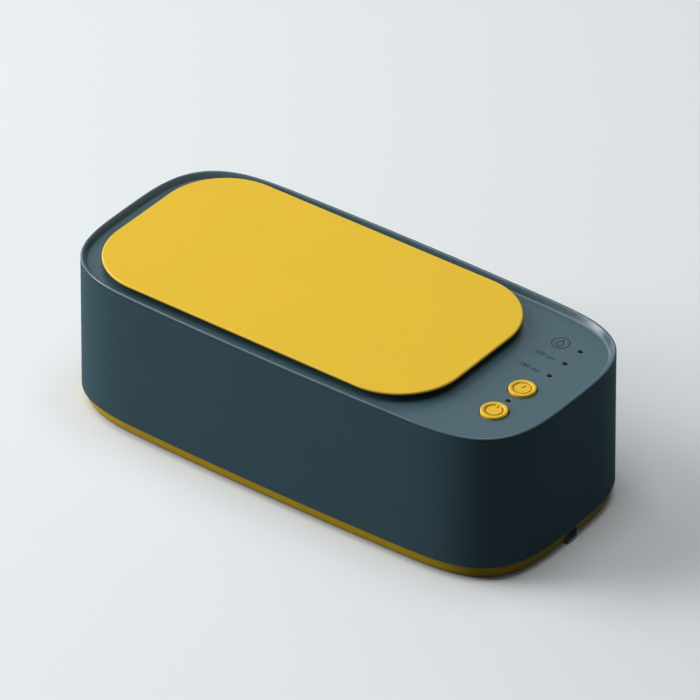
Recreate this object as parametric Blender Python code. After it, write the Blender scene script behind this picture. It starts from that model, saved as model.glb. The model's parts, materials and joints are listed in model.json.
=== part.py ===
"""Household ultrasonic cleaner: a slate case on a yellow base, with a lift-off lid over a steel tank.

Units are metres. +X is the control end, -Y the long front side, +Z up, and z = 0 is the table.
"""

import math
from collections import namedtuple

import bmesh
import bpy
from mathutils import Matrix, Vector

# Fits
PIECE_GAP = 0.0003
GUIDE_GAP = 0.0001

# Case, seen from above as a rectangle with soft corners. The bow is the share by which its ends are narrower
BODY_LENGTH = 0.2000
BODY_WIDTH = 0.0924
SIDE_BOW = 0.054
CORNER_REACH = 0.0458
CORNER_POWER = 3.5
CASE_HEIGHT = 0.0552
MOULD_DRAFT = 0.0006
SHELL_WALL = 0.0022
RIM_ROUND = 0.0006
LEDGE_WIDTH = 0.0022
LEDGE_THICKNESS = 0.0012

# Base and feet
FOOT_STAND = 0.0005
FOOT_RADIUS = 0.0045
FOOT_POCKET = 0.0010
FOOT_END_INSET = 0.0260
FOOT_SIDE_INSET = 0.0184
BASE_HEIGHT = 0.0053
BASE_STEP = 0.0012
BASE_TUCK = 0.0019
BASE_FLOOR = 0.0020
BASE_LIP_HEIGHT = 0.0030
BASE_LIP_WALL = 0.0014

# Deck and the posts that the base screws into
DECK_DEPTH = 0.0026
DECK_THICKNESS = 0.0020
DECK_COVE = 0.0020
DECK_LAND = 0.0003
POST_RADIUS = 0.00275
POST_SPREAD = 0.0140
POST_INSET = 0.0078
POST_ANGLE = math.radians(25)
BOSS_RISE = 0.0005
BOSS_WALL = 0.0009
SCREW_HEAD_RADIUS = 0.0027
SCREW_HEAD_HEIGHT = 0.0018
SCREW_RADIUS = 0.0014
SCREW_BITE = 0.0090
COUNTERBORE_DEPTH = 0.0027

# Lid and its seal
LID_END_MARGIN = 0.00825
LID_SIDE_MARGIN = 0.0055
CONTROL_LENGTH = 0.03925
LID_CORNER = 0.0255
LID_STAND = 0.0014
LID_THICKNESS = 0.0012
LID_EDGE_ROUND = 0.0006
LID_OVERHANG = 0.0050
COLLAR_WALL = 0.0020
SKIRT_CLEARANCE = 0.0005
SKIRT_WALL = 0.0016
SKIRT_DEPTH = 0.0030
SEAL_THICKNESS = 0.0009

# Tank and transducer
TANK_SETBACK = 0.0010
TANK_WALL = 0.0008
TANK_FLANGE = 0.0030
TANK_DEPTH = 0.0360
TANK_FLOOR_ROUND = 0.0060
GASKET_THICKNESS = 0.0008
GASKET_WIDTH = 0.0025
PIEZO_RADIUS = 0.0220
PIEZO_THICKNESS = 0.0030
BOND_THICKNESS = 0.0006

# Buttons, switches and indicator lights. A share is of the body's width, measured from its middle
BUTTON_END_DISTANCE = 0.0200
POWER_BUTTON_SHARE = -0.2174
BUTTON_PITCH_SHARE = 0.1812
BUTTON_RADIUS = 0.0050
BUTTON_RISE = 0.0010
BUTTON_ROUND = 0.0004
BUTTON_DISH_RADIUS = 0.0036
BUTTON_DISH_DEPTH = 0.0003
BUTTON_TRAVEL = 0.0005
BUTTON_FLANGE_WIDTH = 0.0010
BUTTON_FLANGE_THICKNESS = 0.0009
BUTTON_STEM_RADIUS = 0.0015
BUTTON_STEM_LENGTH = 0.0022
PLUNGER_RADIUS = 0.0016
PLUNGER_RISE = 0.0012
PLUNGER_SEAT = 0.0008
SWITCH_SIDE = 0.0062
SWITCH_HEIGHT = 0.0030
LIGHT_END_DISTANCE = 0.0175
LIGHT_FIRST_SHARE = 0.1019
LIGHT_PITCH_SHARE = 0.1003
LIGHT_RADIUS = 0.0008
LIGHT_FLANGE_RADIUS = 0.0015
LIGHT_FLANGE_THICKNESS = 0.0008
LED_RADIUS = 0.0013
LED_HEIGHT = 0.0020

# Boards
BOARD_THICKNESS = 0.0016
CONTROL_BOARD_REACH = 0.0090
CONTROL_BOARD_EDGE = 0.0025
CONTROL_BOSS_RADIUS = 0.0024
CONTROL_SCREW_RADIUS = 0.0010
CONTROL_SCREW_BITE = 0.0050
DRIVER_BOARD_LENGTH = 0.0330
DRIVER_BOARD_WIDTH = 0.0420
DRIVER_BOARD_INSET = 0.0025
STANDOFF_RADIUS = 0.0026
STANDOFF_EDGE = 0.0040
DRIVER_SCREW_RADIUS = 0.0012
BOARD_SCREW_HEAD_HEIGHT = 0.0013
BOARD_SCREW_HEAD_WIDTH = 0.0009

# Leads between the transducer and the two boards
LEAD_DIAMETER = 0.0014
LEAD_SPREAD = 0.0030
LEAD_START = 0.0080
LEAD_BEND = 0.0030
LEAD_FALL = 0.0080
LEAD_LAY = 0.0300
LEAD_RISE = 0.0120
LEAD_ARCH = 0.0024
LEAD_LANDING = 0.0028
LEAD_FLOOR_GAP = 0.0030
LIVE_LAND_Y = 0.0022
RETURN_LAND_Y = -0.0005
CABLE_DIAMETER = 0.0024
CABLE_BEND = 0.0050
CABLE_SWAY = 0.0040
PLUG_LENGTH = 0.0080
PLUG_WIDTH = 0.0050
PLUG_HEIGHT = 0.0055
PLUG_EDGE = 0.0045
CONTROL_PLUG_SIDE = 0.0070
DRIVER_PLUG_Y = 0.0080

# Power parts on the driver board
CORE_SHIFT = 0.0020
CORE_Y = -0.0080
CORE_DEPTH = 0.0080
CORE_WIDTH = 0.0160
CORE_HEIGHT = 0.0150
CORE_YOKE = 0.0025
CORE_SIDE = 0.0018
CORE_LEG_RADIUS = 0.0023
INDUCTOR_SHIFT = 0.0100
INDUCTOR_Y = -0.0060
INDUCTOR_RADIUS = 0.0042
INDUCTOR_HEIGHT = 0.0090
CAPACITOR_SHIFT = 0.0030
CAPACITOR_Y = 0.0120
CAPACITOR_RADIUS = 0.0050
CAPACITOR_HEIGHT = 0.0140
CAPACITOR_ROUND = 0.0004
HEATSINK_EDGE = 0.0005
HEATSINK_Y = 0.0050
HEATSINK_WALL = 0.0030
HEATSINK_WIDTH = 0.0180
HEATSINK_HEIGHT = 0.0180
MOSFET_DEPTH = 0.0045
MOSFET_WIDTH = 0.0100
MOSFET_HEIGHT = 0.0150

# Power inlet
JACK_WIDTH = 0.0055
JACK_LENGTH = 0.0090
JACK_SETBACK = 0.0002
JACK_BORE_RADIUS = 0.00175
JACK_BORE_DEPTH = 0.0080
JACK_PIN_RADIUS = 0.00055
JACK_PIN_RECESS = 0.0010
BEZEL_DEPTH = 0.0025
BEZEL_WALL = 0.0004

# Facets
CORNER_STEPS = 12
SIDE_STEPS = 2
ROUND_STEPS = 4
SIDES = 20
SMALL_SIDES = 12
CABLE_STEPS = 4

# Heights that follow from the sizes above
base_bottom = FOOT_STAND
base_top = base_bottom + BASE_HEIGHT
base_floor_top = base_bottom + BASE_FLOOR
shell_bottom = base_top + PIECE_GAP
rim_top = shell_bottom + CASE_HEIGHT
deck_top = rim_top - DECK_DEPTH
deck_under = deck_top - DECK_THICKNESS
ledge_top = deck_under - PIECE_GAP
lid_top = rim_top + LID_STAND
lid_under = lid_top - LID_THICKNESS
seal_top = lid_under - PIECE_GAP
collar_top = seal_top - SEAL_THICKNESS - PIECE_GAP
flange_top = deck_under - 2 * PIECE_GAP - GASKET_THICKNESS
tank_floor = flange_top - TANK_DEPTH
bond_top = tank_floor - TANK_WALL - PIECE_GAP
piezo_top = bond_top - BOND_THICKNESS - PIECE_GAP
piezo_bottom = piezo_top - PIEZO_THICKNESS
button_flange_bottom = deck_under - PIECE_GAP - BUTTON_FLANGE_THICKNESS
button_stem_bottom = button_flange_bottom - BUTTON_STEM_LENGTH
plunger_top = button_stem_bottom - PIECE_GAP
switch_top = plunger_top - PLUNGER_RISE
control_board_top = switch_top - SWITCH_HEIGHT - PIECE_GAP
control_board_under = control_board_top - BOARD_THICKNESS
driver_board_under = base_top + PIECE_GAP
driver_board_top = driver_board_under + BOARD_THICKNESS
boss_top = base_top + BASE_LIP_HEIGHT + BOSS_RISE
post_bottom = boss_top + PIECE_GAP

# Places that follow from the sizes above
half_length = BODY_LENGTH / 2
half_width = BODY_WIDTH / 2
lid_length = BODY_LENGTH - LID_END_MARGIN - CONTROL_LENGTH
lid_width = BODY_WIDTH - 2 * LID_SIDE_MARGIN
lid_x = -half_length + LID_END_MARGIN + lid_length / 2
mouth_inset = LID_OVERHANG + COLLAR_WALL
tank_inset = mouth_inset - TANK_SETBACK
flange_inset = tank_inset - TANK_WALL - TANK_FLANGE
button_x = half_length - BUTTON_END_DISTANCE
power_button_y = POWER_BUTTON_SHARE * BODY_WIDTH
timer_button_y = power_button_y + BUTTON_PITCH_SHARE * BODY_WIDTH
between_buttons_y = (power_button_y + timer_button_y) / 2
light_x = half_length - LIGHT_END_DISTANCE
light_first_y = LIGHT_FIRST_SHARE * BODY_WIDTH
light_pitch = LIGHT_PITCH_SHARE * BODY_WIDTH
light_last_y = light_first_y + 2 * light_pitch
light_places = {
    "power": (button_x, between_buttons_y),
    "1": (light_x, light_first_y),
    "2": (light_x, light_first_y + light_pitch),
    "3": (light_x, light_last_y),
}
lip_outer = MOULD_DRAFT - SHELL_WALL - PIECE_GAP
lip_inner = lip_outer - BASE_LIP_WALL
boss_radius = SCREW_HEAD_RADIUS + PIECE_GAP + BOSS_WALL
driver_board_right = half_length + lip_inner - DRIVER_BOARD_INSET
driver_board_x = driver_board_right - DRIVER_BOARD_LENGTH / 2
jack_face = half_length + MOULD_DRAFT - JACK_SETBACK
jack_front = jack_face - BEZEL_DEPTH - PIECE_GAP
jack_back = jack_front - JACK_LENGTH
jack_z = (base_bottom + base_top) / 2

Plan = namedtuple("Plan", "length width reach power bow")
body_plan = Plan(BODY_LENGTH, BODY_WIDTH, min(CORNER_REACH, half_width), CORNER_POWER, SIDE_BOW)
lid_plan = Plan(lid_length, lid_width, LID_CORNER, 2.0, 0.0)


def bow_at(plan, x):
    """How much of the full width a plan keeps at this x."""
    return 1 - plan.bow * (2 * x / plan.length) ** 2


def corner_point(plan, angle):
    """The point of the +X +Y corner whose outward normal, before the bow, has this angle."""
    cosine, sine = max(math.cos(angle), 0.0), max(math.sin(angle), 0.0)
    root = 1 / (plan.power - 1)
    size = (cosine ** (plan.power * root) + sine ** (plan.power * root)) ** (1 / plan.power)
    x = plan.length / 2 - plan.reach + plan.reach * cosine**root / size
    y = plan.width / 2 - plan.reach + plan.reach * sine**root / size
    return x, y * bow_at(plan, x)


def plan_ring(plan, offset, z, centre_x=0.0):
    """One loop round a plan, moved out along its normals, with more points where a side begins."""
    quarter = []
    for step in range(CORNER_STEPS + 1):
        angle = math.pi / 4 * (1 - math.cos(math.pi * step / CORNER_STEPS))
        x, y = corner_point(plan, angle)
        quarter.append((x + offset * math.cos(angle), y + offset * math.sin(angle)))
    for step in range(1, SIDE_STEPS + 1):
        x = (plan.length / 2 - plan.reach) * (1 - 2 * step / (2 * SIDE_STEPS + 1))
        quarter.append((x, plan.width / 2 * bow_at(plan, x) + offset))
    corners = [
        [(x, y) for x, y in quarter],
        [(-x, y) for x, y in reversed(quarter)],
        [(-x, -y) for x, y in quarter],
        [(x, -y) for x, y in reversed(quarter)],
    ]
    return [(x + centre_x, y, z) for corner in corners for x, y in corner]


def circle_ring(radius, z, x=0.0, y=0.0, sides=SIDES):
    turn = 2 * math.pi / sides
    return [(x + radius * math.cos(turn * i), y + radius * math.sin(turn * i), z) for i in range(sides)]


def cylinder_loops(radius, low, high, x=0.0, y=0.0, sides=SIDES):
    return [circle_ring(radius, low, x, y, sides), circle_ring(radius, high, x, y, sides)]


def box_loops(low, high):
    corners = [(low[0], low[1]), (high[0], low[1]), (high[0], high[1]), (low[0], high[1])]
    return [[(x, y, low[2]) for x, y in corners], [(x, y, high[2]) for x, y in corners]]


def add_loft(bm, loops, ring):
    """Skins loops of equal length. A ring closes on itself, anything else gets flat caps."""
    rows = [[bm.verts.new(point) for point in loop] for loop in loops]
    pairs = list(zip(rows, rows[1:]))
    if ring:
        pairs.append((rows[-1], rows[0]))
    else:
        bm.faces.new(list(reversed(rows[0])))
        bm.faces.new(rows[-1])
    for lower, upper in pairs:
        for i in range(len(lower)):
            j = (i + 1) % len(lower)
            bm.faces.new((lower[i], lower[j], upper[j], upper[i]))


def lofted(name, shapes, material=None, ring=False, at=(0.0, 0.0, 0.0)):
    """An object of one or more skinned shapes. Without a material it is a helper for a Boolean."""
    bm = bmesh.new()
    for loops in shapes:
        add_loft(bm, loops, ring)
    bmesh.ops.recalc_face_normals(bm, faces=bm.faces)
    mesh = bpy.data.meshes.new(name)
    bm.to_mesh(mesh)
    bm.free()
    mesh.shade_smooth()
    mesh.set_sharp_from_angle(angle=math.radians(35))
    piece = bpy.data.objects.new(name, mesh)
    piece.location = at
    bpy.context.scene.collection.objects.link(piece)
    if material:
        mesh.materials.append(material)
    else:
        piece.hide_render = True
        piece.display_type = "WIRE"
    return piece


def joined(piece, feature, shapes, operation, ring=False):
    """Adds the shapes of a feature to a piece (UNION) or takes them away (DIFFERENCE)."""
    modifier = piece.modifiers.new(feature, "BOOLEAN")
    modifier.operation = operation
    modifier.solver = "EXACT"
    modifier.object = lofted(f"{piece.name}_{feature}", shapes, ring=ring)


def turned(name, profile, material, x=0.0, y=0.0, sides=SIDES, ring=False):
    """A piece turned about a vertical axis at x, y, from (radius, height) points."""
    loops = [circle_ring(radius, z, sides=sides) for radius, z in profile]
    return lofted(name, [loops], material, ring, (x, y, 0.0))


def block(name, low, high, material):
    return lofted(name, [box_loops(low, high)], material)


def tube(name, route, diameter, material):
    """A round lead on a smooth curve through the route's points."""
    knots = [Vector(point) for point in route]
    knots = [2 * knots[0] - knots[1], *knots, 2 * knots[-1] - knots[-2]]
    points = []
    for a, b, c, d in zip(knots, knots[1:], knots[2:], knots[3:]):
        for step in range(CABLE_STEPS):
            t = step / CABLE_STEPS
            points.append(0.5 * (2 * b + (c - a) * t + (2 * a - 5 * b + 4 * c - d) * t**2
                                 + (3 * b - a - 3 * c + d) * t**3))
    points.append(knots[-2])
    curve = bpy.data.curves.new(name, "CURVE")
    curve.dimensions = "3D"
    curve.bevel_depth = diameter / 2
    curve.bevel_resolution = 1
    curve.use_fill_caps = True
    spline = curve.splines.new("POLY")
    spline.points.add(len(points) - 1)
    for place, point in zip(spline.points, points):
        place.co = (*point, 1.0)
    piece = bpy.data.objects.new(name, curve)
    bpy.context.scene.collection.objects.link(piece)
    curve.materials.append(material)
    return piece


def finish(name, colour, roughness, metallic=0.0):
    """A plain Principled material from an 8-bit screen colour."""
    material = bpy.data.materials.new(name)
    material.use_nodes = True
    shader = material.node_tree.nodes["Principled BSDF"]
    linear = [((c / 255 + 0.055) / 1.055) ** 2.4 for c in colour]
    shader.inputs["Base Color"].default_value = (*linear, 1.0)
    shader.inputs["Roughness"].default_value = roughness
    shader.inputs["Metallic"].default_value = metallic
    return material


def draft_at(z):
    """How far the case's side has grown outwards at this height."""
    return MOULD_DRAFT * (rim_top - z) / CASE_HEIGHT


def arc(centre, reach, start, end, steps=ROUND_STEPS):
    """Points of an ellipse's arc in the (offset, height) plane, with angles in degrees."""
    points = []
    for step in range(steps + 1):
        angle = math.radians(start + (end - start) * step / steps)
        points.append((centre[0] + reach[0] * math.cos(angle), centre[1] + reach[1] * math.sin(angle)))
    return points


def post_places():
    """Two posts between the tank's flange and the shell, and two in the control end's corners."""
    far_x = (lid_x - lid_length / 2 + flange_inset - half_length + SHELL_WALL) / 2
    x, y = corner_point(body_plan, POST_ANGLE)
    near_x = x - POST_INSET * math.cos(POST_ANGLE)
    near_y = y - POST_INSET * math.sin(POST_ANGLE)
    return [(far_x, -POST_SPREAD), (far_x, POST_SPREAD), (near_x, -near_y), (near_x, near_y)]


def control_board_box():
    post_side = post_places()[2][0] - POST_RADIUS - PIECE_GAP
    right = min(light_x + CONTROL_BOARD_EDGE + LIGHT_RADIUS, post_side)
    front = power_button_y - BUTTON_RADIUS - CONTROL_BOARD_EDGE
    back = light_last_y + CONTROL_BOARD_EDGE
    return (button_x - CONTROL_BOARD_REACH, front, control_board_under), (right, back, control_board_top)


def control_boss_places():
    x = control_board_box()[0][0] + CONTROL_BOSS_RADIUS + PIECE_GAP
    return [(x, between_buttons_y), (x, light_first_y + light_pitch / 2)]


def standoff_places():
    reach_x = DRIVER_BOARD_LENGTH / 2 - STANDOFF_EDGE
    reach_y = DRIVER_BOARD_WIDTH / 2 - STANDOFF_EDGE
    return [(driver_board_x + i * reach_x, j * reach_y) for i in (-1, 1) for j in (-1, 1)]


def foot_places():
    reach_x, reach_y = half_length - FOOT_END_INSET, half_width - FOOT_SIDE_INSET
    return [(i * reach_x, j * reach_y) for i in (-1, 1) for j in (-1, 1)]


def make_shell(slate):
    profile = [(MOULD_DRAFT, shell_bottom)]
    profile += arc((-RIM_ROUND, rim_top - RIM_ROUND), (RIM_ROUND, RIM_ROUND), 0, 90, 3)
    profile += arc((RIM_ROUND - SHELL_WALL, rim_top - RIM_ROUND), (RIM_ROUND, RIM_ROUND), 90, 180, 3)
    ledge_low = ledge_top - LEDGE_THICKNESS
    slope_low = ledge_low - LEDGE_WIDTH
    profile += [
        (draft_at(ledge_top) - SHELL_WALL, ledge_top),
        (draft_at(ledge_top) - SHELL_WALL - LEDGE_WIDTH, ledge_top),
        (draft_at(ledge_top) - SHELL_WALL - LEDGE_WIDTH, ledge_low),
        (draft_at(slope_low) - SHELL_WALL, slope_low),
        (MOULD_DRAFT - SHELL_WALL, shell_bottom),
    ]
    shell = lofted("body_shell", [[plan_ring(body_plan, *point) for point in profile]], slate, ring=True)
    clear = POST_RADIUS + PIECE_GAP
    notches = [cylinder_loops(clear, post_bottom, deck_under, x, y) for x, y in post_places()]
    joined(shell, "post_notches", notches, "DIFFERENCE")


def make_deck(slate):
    cove_top = deck_top + DECK_COVE
    edge = draft_at(cove_top) - SHELL_WALL - PIECE_GAP
    profile = [(edge, deck_under), (edge, cove_top)]
    profile += arc((edge - DECK_LAND - DECK_COVE, cove_top), (DECK_COVE, DECK_COVE), 0, -90)
    loops = [plan_ring(body_plan, *point) for point in profile]
    loops += [
        plan_ring(lid_plan, -LID_OVERHANG, deck_top, lid_x),
        plan_ring(lid_plan, -LID_OVERHANG, collar_top, lid_x),
        plan_ring(lid_plan, -mouth_inset, collar_top, lid_x),
        plan_ring(lid_plan, -mouth_inset, deck_under, lid_x),
    ]
    deck = lofted("top_deck", [loops], slate, ring=True)
    root = deck_under + DECK_THICKNESS / 2
    board_seat = control_board_top + PIECE_GAP
    posts = [cylinder_loops(POST_RADIUS, post_bottom, root, x, y) for x, y in post_places()]
    joined(deck, "posts", posts, "UNION")
    bosses = [cylinder_loops(CONTROL_BOSS_RADIUS, board_seat, root, x, y) for x, y in control_boss_places()]
    joined(deck, "board_bosses", bosses, "UNION")
    below, above = deck_under - DECK_THICKNESS, deck_top + DECK_THICKNESS
    thread, depth = SCREW_RADIUS + PIECE_GAP, post_bottom + SCREW_BITE + PIECE_GAP
    holes = [
        cylinder_loops(thread, post_bottom - PIECE_GAP, depth, x, y, SMALL_SIDES)
        for x, y in post_places()
    ]
    joined(deck, "post_holes", holes, "DIFFERENCE")
    thread, depth = CONTROL_SCREW_RADIUS + PIECE_GAP, board_seat + CONTROL_SCREW_BITE
    holes = [
        cylinder_loops(thread, control_board_top, depth, x, y, SMALL_SIDES)
        for x, y in control_boss_places()
    ]
    joined(deck, "boss_holes", holes, "DIFFERENCE")
    clear = BUTTON_RADIUS + PIECE_GAP
    holes = [cylinder_loops(clear, below, above, button_x, y) for y in (power_button_y, timer_button_y)]
    joined(deck, "button_holes", holes, "DIFFERENCE")
    clear = LIGHT_RADIUS + GUIDE_GAP
    holes = [cylinder_loops(clear, below, above, x, y, SMALL_SIDES) for x, y in light_places.values()]
    joined(deck, "light_holes", holes, "DIFFERENCE")


def make_base(yellow, rubber):
    top_offset = MOULD_DRAFT - BASE_STEP
    profile = arc((top_offset - BASE_TUCK, base_top), (BASE_TUCK, BASE_HEIGHT), -90, 0, 6)
    profile += [
        (lip_outer, base_top),
        (lip_outer, base_top + BASE_LIP_HEIGHT),
        (lip_inner, base_top + BASE_LIP_HEIGHT),
        (lip_inner, base_floor_top),
    ]
    base = lofted("base_cover", [[plan_ring(body_plan, *point) for point in profile]], yellow)
    root = base_bottom + BASE_FLOOR / 2
    bosses = [cylinder_loops(boss_radius, root, boss_top, x, y) for x, y in post_places()]
    joined(base, "screw_bosses", bosses, "UNION")
    standoffs = [cylinder_loops(STANDOFF_RADIUS, root, base_top, x, y) for x, y in standoff_places()]
    joined(base, "standoffs", standoffs, "UNION")
    below = base_bottom - BASE_FLOOR
    seat = base_bottom + COUNTERBORE_DEPTH
    bore, clear = SCREW_HEAD_RADIUS + PIECE_GAP, SCREW_RADIUS + PIECE_GAP
    steps = [(bore, below), (bore, seat), (clear, seat), (clear, boss_top + BASE_FLOOR)]
    holes = [[circle_ring(radius, z, x, y) for radius, z in steps] for x, y in post_places()]
    joined(base, "screw_holes", holes, "DIFFERENCE")
    thread = DRIVER_SCREW_RADIUS + PIECE_GAP
    holes = [
        cylinder_loops(thread, base_floor_top, driver_board_top, x, y, SMALL_SIDES)
        for x, y in standoff_places()
    ]
    joined(base, "standoff_holes", holes, "DIFFERENCE")
    pocket = base_bottom + FOOT_POCKET
    holes = [cylinder_loops(FOOT_RADIUS + PIECE_GAP, below, pocket, x, y) for x, y in foot_places()]
    joined(base, "foot_pockets", holes, "DIFFERENCE")
    notch = JACK_WIDTH / 2 + PIECE_GAP
    low = (jack_back - PIECE_GAP, -notch, below)
    high = (half_length + BASE_TUCK, notch, driver_board_under)
    joined(base, "jack_notch", [box_loops(low, high)], "DIFFERENCE")
    for number, (x, y) in enumerate(foot_places(), 1):
        top = pocket - PIECE_GAP
        profile = [(FOOT_RADIUS - FOOT_STAND, 0.0), (FOOT_RADIUS, FOOT_STAND), (FOOT_RADIUS, top)]
        turned(f"foot_{number}", profile, rubber, x, y)


def make_lid(yellow, silicone):
    skirt_outer = -(mouth_inset + SKIRT_CLEARANCE)
    skirt_inner = skirt_outer - SKIRT_WALL
    under_round = LID_THICKNESS - LID_EDGE_ROUND
    profile = [
        (skirt_inner, lid_under),
        (skirt_inner, lid_under - SKIRT_DEPTH),
        (skirt_outer, lid_under - SKIRT_DEPTH),
        (skirt_outer, lid_under),
        (-under_round / 2, lid_under),
        (0.0, lid_under + under_round / 2),
    ]
    centre = (-LID_EDGE_ROUND, lid_top - LID_EDGE_ROUND)
    profile += arc(centre, (LID_EDGE_ROUND, LID_EDGE_ROUND), 0, 90)
    lofted("lid", [[plan_ring(lid_plan, *point) for point in profile]], yellow, at=(lid_x, 0.0, 0.0))
    inner, outer = skirt_outer + PIECE_GAP, -(LID_OVERHANG + PIECE_GAP)
    low = seal_top - SEAL_THICKNESS
    profile = [(outer, low), (outer, seal_top), (inner, seal_top), (inner, low)]
    loops = [plan_ring(lid_plan, *point) for point in profile]
    lofted("lid_seal", [loops], silicone, ring=True, at=(lid_x, 0.0, 0.0))


def make_tank(steel, silicone, ceramic, resin):
    outer = TANK_WALL - tank_inset
    round_outer = TANK_FLOOR_ROUND + TANK_WALL
    centre = (-tank_inset - TANK_FLOOR_ROUND, tank_floor + TANK_FLOOR_ROUND)
    profile = arc(centre, (TANK_FLOOR_ROUND, TANK_FLOOR_ROUND), -90, 0)
    profile += [
        (-tank_inset, flange_top),
        (-flange_inset, flange_top),
        (-flange_inset, flange_top - TANK_WALL),
        (outer, flange_top - TANK_WALL),
    ]
    profile += arc(centre, (round_outer, round_outer), 0, -90)
    lofted("tank", [[plan_ring(lid_plan, *point) for point in profile]], steel, at=(lid_x, 0.0, 0.0))
    low, high = flange_top + PIECE_GAP, deck_under - PIECE_GAP
    gasket_inner = -flange_inset - GASKET_WIDTH
    profile = [(-flange_inset, low), (-flange_inset, high), (gasket_inner, high), (gasket_inner, low)]
    loops = [plan_ring(lid_plan, *point) for point in profile]
    lofted("tank_gasket", [loops], silicone, ring=True, at=(lid_x, 0.0, 0.0))
    bond_bottom = bond_top - BOND_THICKNESS
    turned("piezo_bond", [(PIEZO_RADIUS, bond_bottom), (PIEZO_RADIUS, bond_top)], resin, lid_x)
    turned("piezo_disc", [(PIEZO_RADIUS, piezo_bottom), (PIEZO_RADIUS, piezo_top)], ceramic, lid_x)


def make_button(name, y, yellow, black, white):
    top = deck_top + BUTTON_RISE
    flange = BUTTON_RADIUS + BUTTON_FLANGE_WIDTH
    dish = BUTTON_DISH_RADIUS - BUTTON_DISH_DEPTH
    profile = [
        (BUTTON_STEM_RADIUS, button_stem_bottom),
        (BUTTON_STEM_RADIUS, button_flange_bottom),
        (flange, button_flange_bottom),
        (flange, deck_under - PIECE_GAP),
        (BUTTON_RADIUS, deck_under - PIECE_GAP),
    ]
    centre = (BUTTON_RADIUS - BUTTON_ROUND, top - BUTTON_ROUND)
    profile += arc(centre, (BUTTON_ROUND, BUTTON_ROUND), 0, 90, 3)
    profile += [(BUTTON_DISH_RADIUS, top), (dish, top - BUTTON_DISH_DEPTH)]
    turned(f"{name}_button", profile, yellow, button_x, y)
    seat = switch_top - PLUNGER_SEAT
    profile = [(PLUNGER_RADIUS, seat), (PLUNGER_RADIUS, plunger_top)]
    turned(f"{name}_plunger", profile, white, button_x, y, SMALL_SIDES)
    side = SWITCH_SIDE / 2
    low = (button_x - side, y - side, control_board_top + PIECE_GAP)
    high = (button_x + side, y + side, switch_top)
    switch = block(f"{name}_switch", low, high, black)
    well = seat - BUTTON_TRAVEL - PIECE_GAP
    beyond = switch_top + PLUNGER_RISE
    hole = cylinder_loops(PLUNGER_RADIUS + PIECE_GAP, well, beyond, button_x, y, SMALL_SIDES)
    joined(switch, "well", [hole], "DIFFERENCE")


def make_light(name, x, y, smoke, lens):
    led_low = control_board_top + PIECE_GAP
    led_top = led_low + LED_HEIGHT
    turned(f"led_{name}", [(LED_RADIUS, led_low), (LED_RADIUS, led_top)], lens, x, y, SMALL_SIDES)
    flange_high = deck_under - PIECE_GAP
    flange_low = flange_high - LIGHT_FLANGE_THICKNESS
    profile = [
        (LIGHT_RADIUS, led_top + PIECE_GAP),
        (LIGHT_RADIUS, flange_low),
        (LIGHT_FLANGE_RADIUS, flange_low),
        (LIGHT_FLANGE_RADIUS, flange_high),
        (LIGHT_RADIUS, flange_high),
        (LIGHT_RADIUS, deck_top + GUIDE_GAP),
    ]
    turned(f"light_guide_{name}", profile, smoke, x, y, SMALL_SIDES)


def make_control_board(green, steel):
    low, high = control_board_box()
    board = block("control_board", low, high, green)
    clear = CONTROL_SCREW_RADIUS + PIECE_GAP
    beyond = BOARD_THICKNESS
    holes = [
        cylinder_loops(clear, low[2] - beyond, high[2] + beyond, x, y, SMALL_SIDES)
        for x, y in control_boss_places()
    ]
    joined(board, "screw_holes", holes, "DIFFERENCE")
    head_top = control_board_under - PIECE_GAP
    head = CONTROL_SCREW_RADIUS + BOARD_SCREW_HEAD_WIDTH
    for number, (x, y) in enumerate(control_boss_places(), 1):
        profile = [
            (head, head_top - BOARD_SCREW_HEAD_HEIGHT),
            (head, head_top),
            (CONTROL_SCREW_RADIUS, head_top),
            (CONTROL_SCREW_RADIUS, control_board_top + CONTROL_SCREW_BITE),
        ]
        turned(f"control_board_screw_{number}", profile, steel, x, y, SMALL_SIDES)


def make_driver_board(green, steel):
    half = Vector((DRIVER_BOARD_LENGTH / 2, DRIVER_BOARD_WIDTH / 2))
    low = (driver_board_x - half.x, -half.y, driver_board_under)
    high = (driver_board_x + half.x, half.y, driver_board_top)
    board = block("driver_board", low, high, green)
    clear = DRIVER_SCREW_RADIUS + PIECE_GAP
    beyond = BOARD_THICKNESS
    holes = [
        cylinder_loops(clear, low[2] - beyond, high[2] + beyond, x, y, SMALL_SIDES)
        for x, y in standoff_places()
    ]
    joined(board, "screw_holes", holes, "DIFFERENCE")
    head_low = driver_board_top + PIECE_GAP
    head = DRIVER_SCREW_RADIUS + BOARD_SCREW_HEAD_WIDTH
    for number, (x, y) in enumerate(standoff_places(), 1):
        profile = [
            (DRIVER_SCREW_RADIUS, base_floor_top + PIECE_GAP),
            (DRIVER_SCREW_RADIUS, head_low),
            (head, head_low),
            (head, head_low + BOARD_SCREW_HEAD_HEIGHT),
        ]
        turned(f"driver_board_screw_{number}", profile, steel, x, y, SMALL_SIDES)


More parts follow.
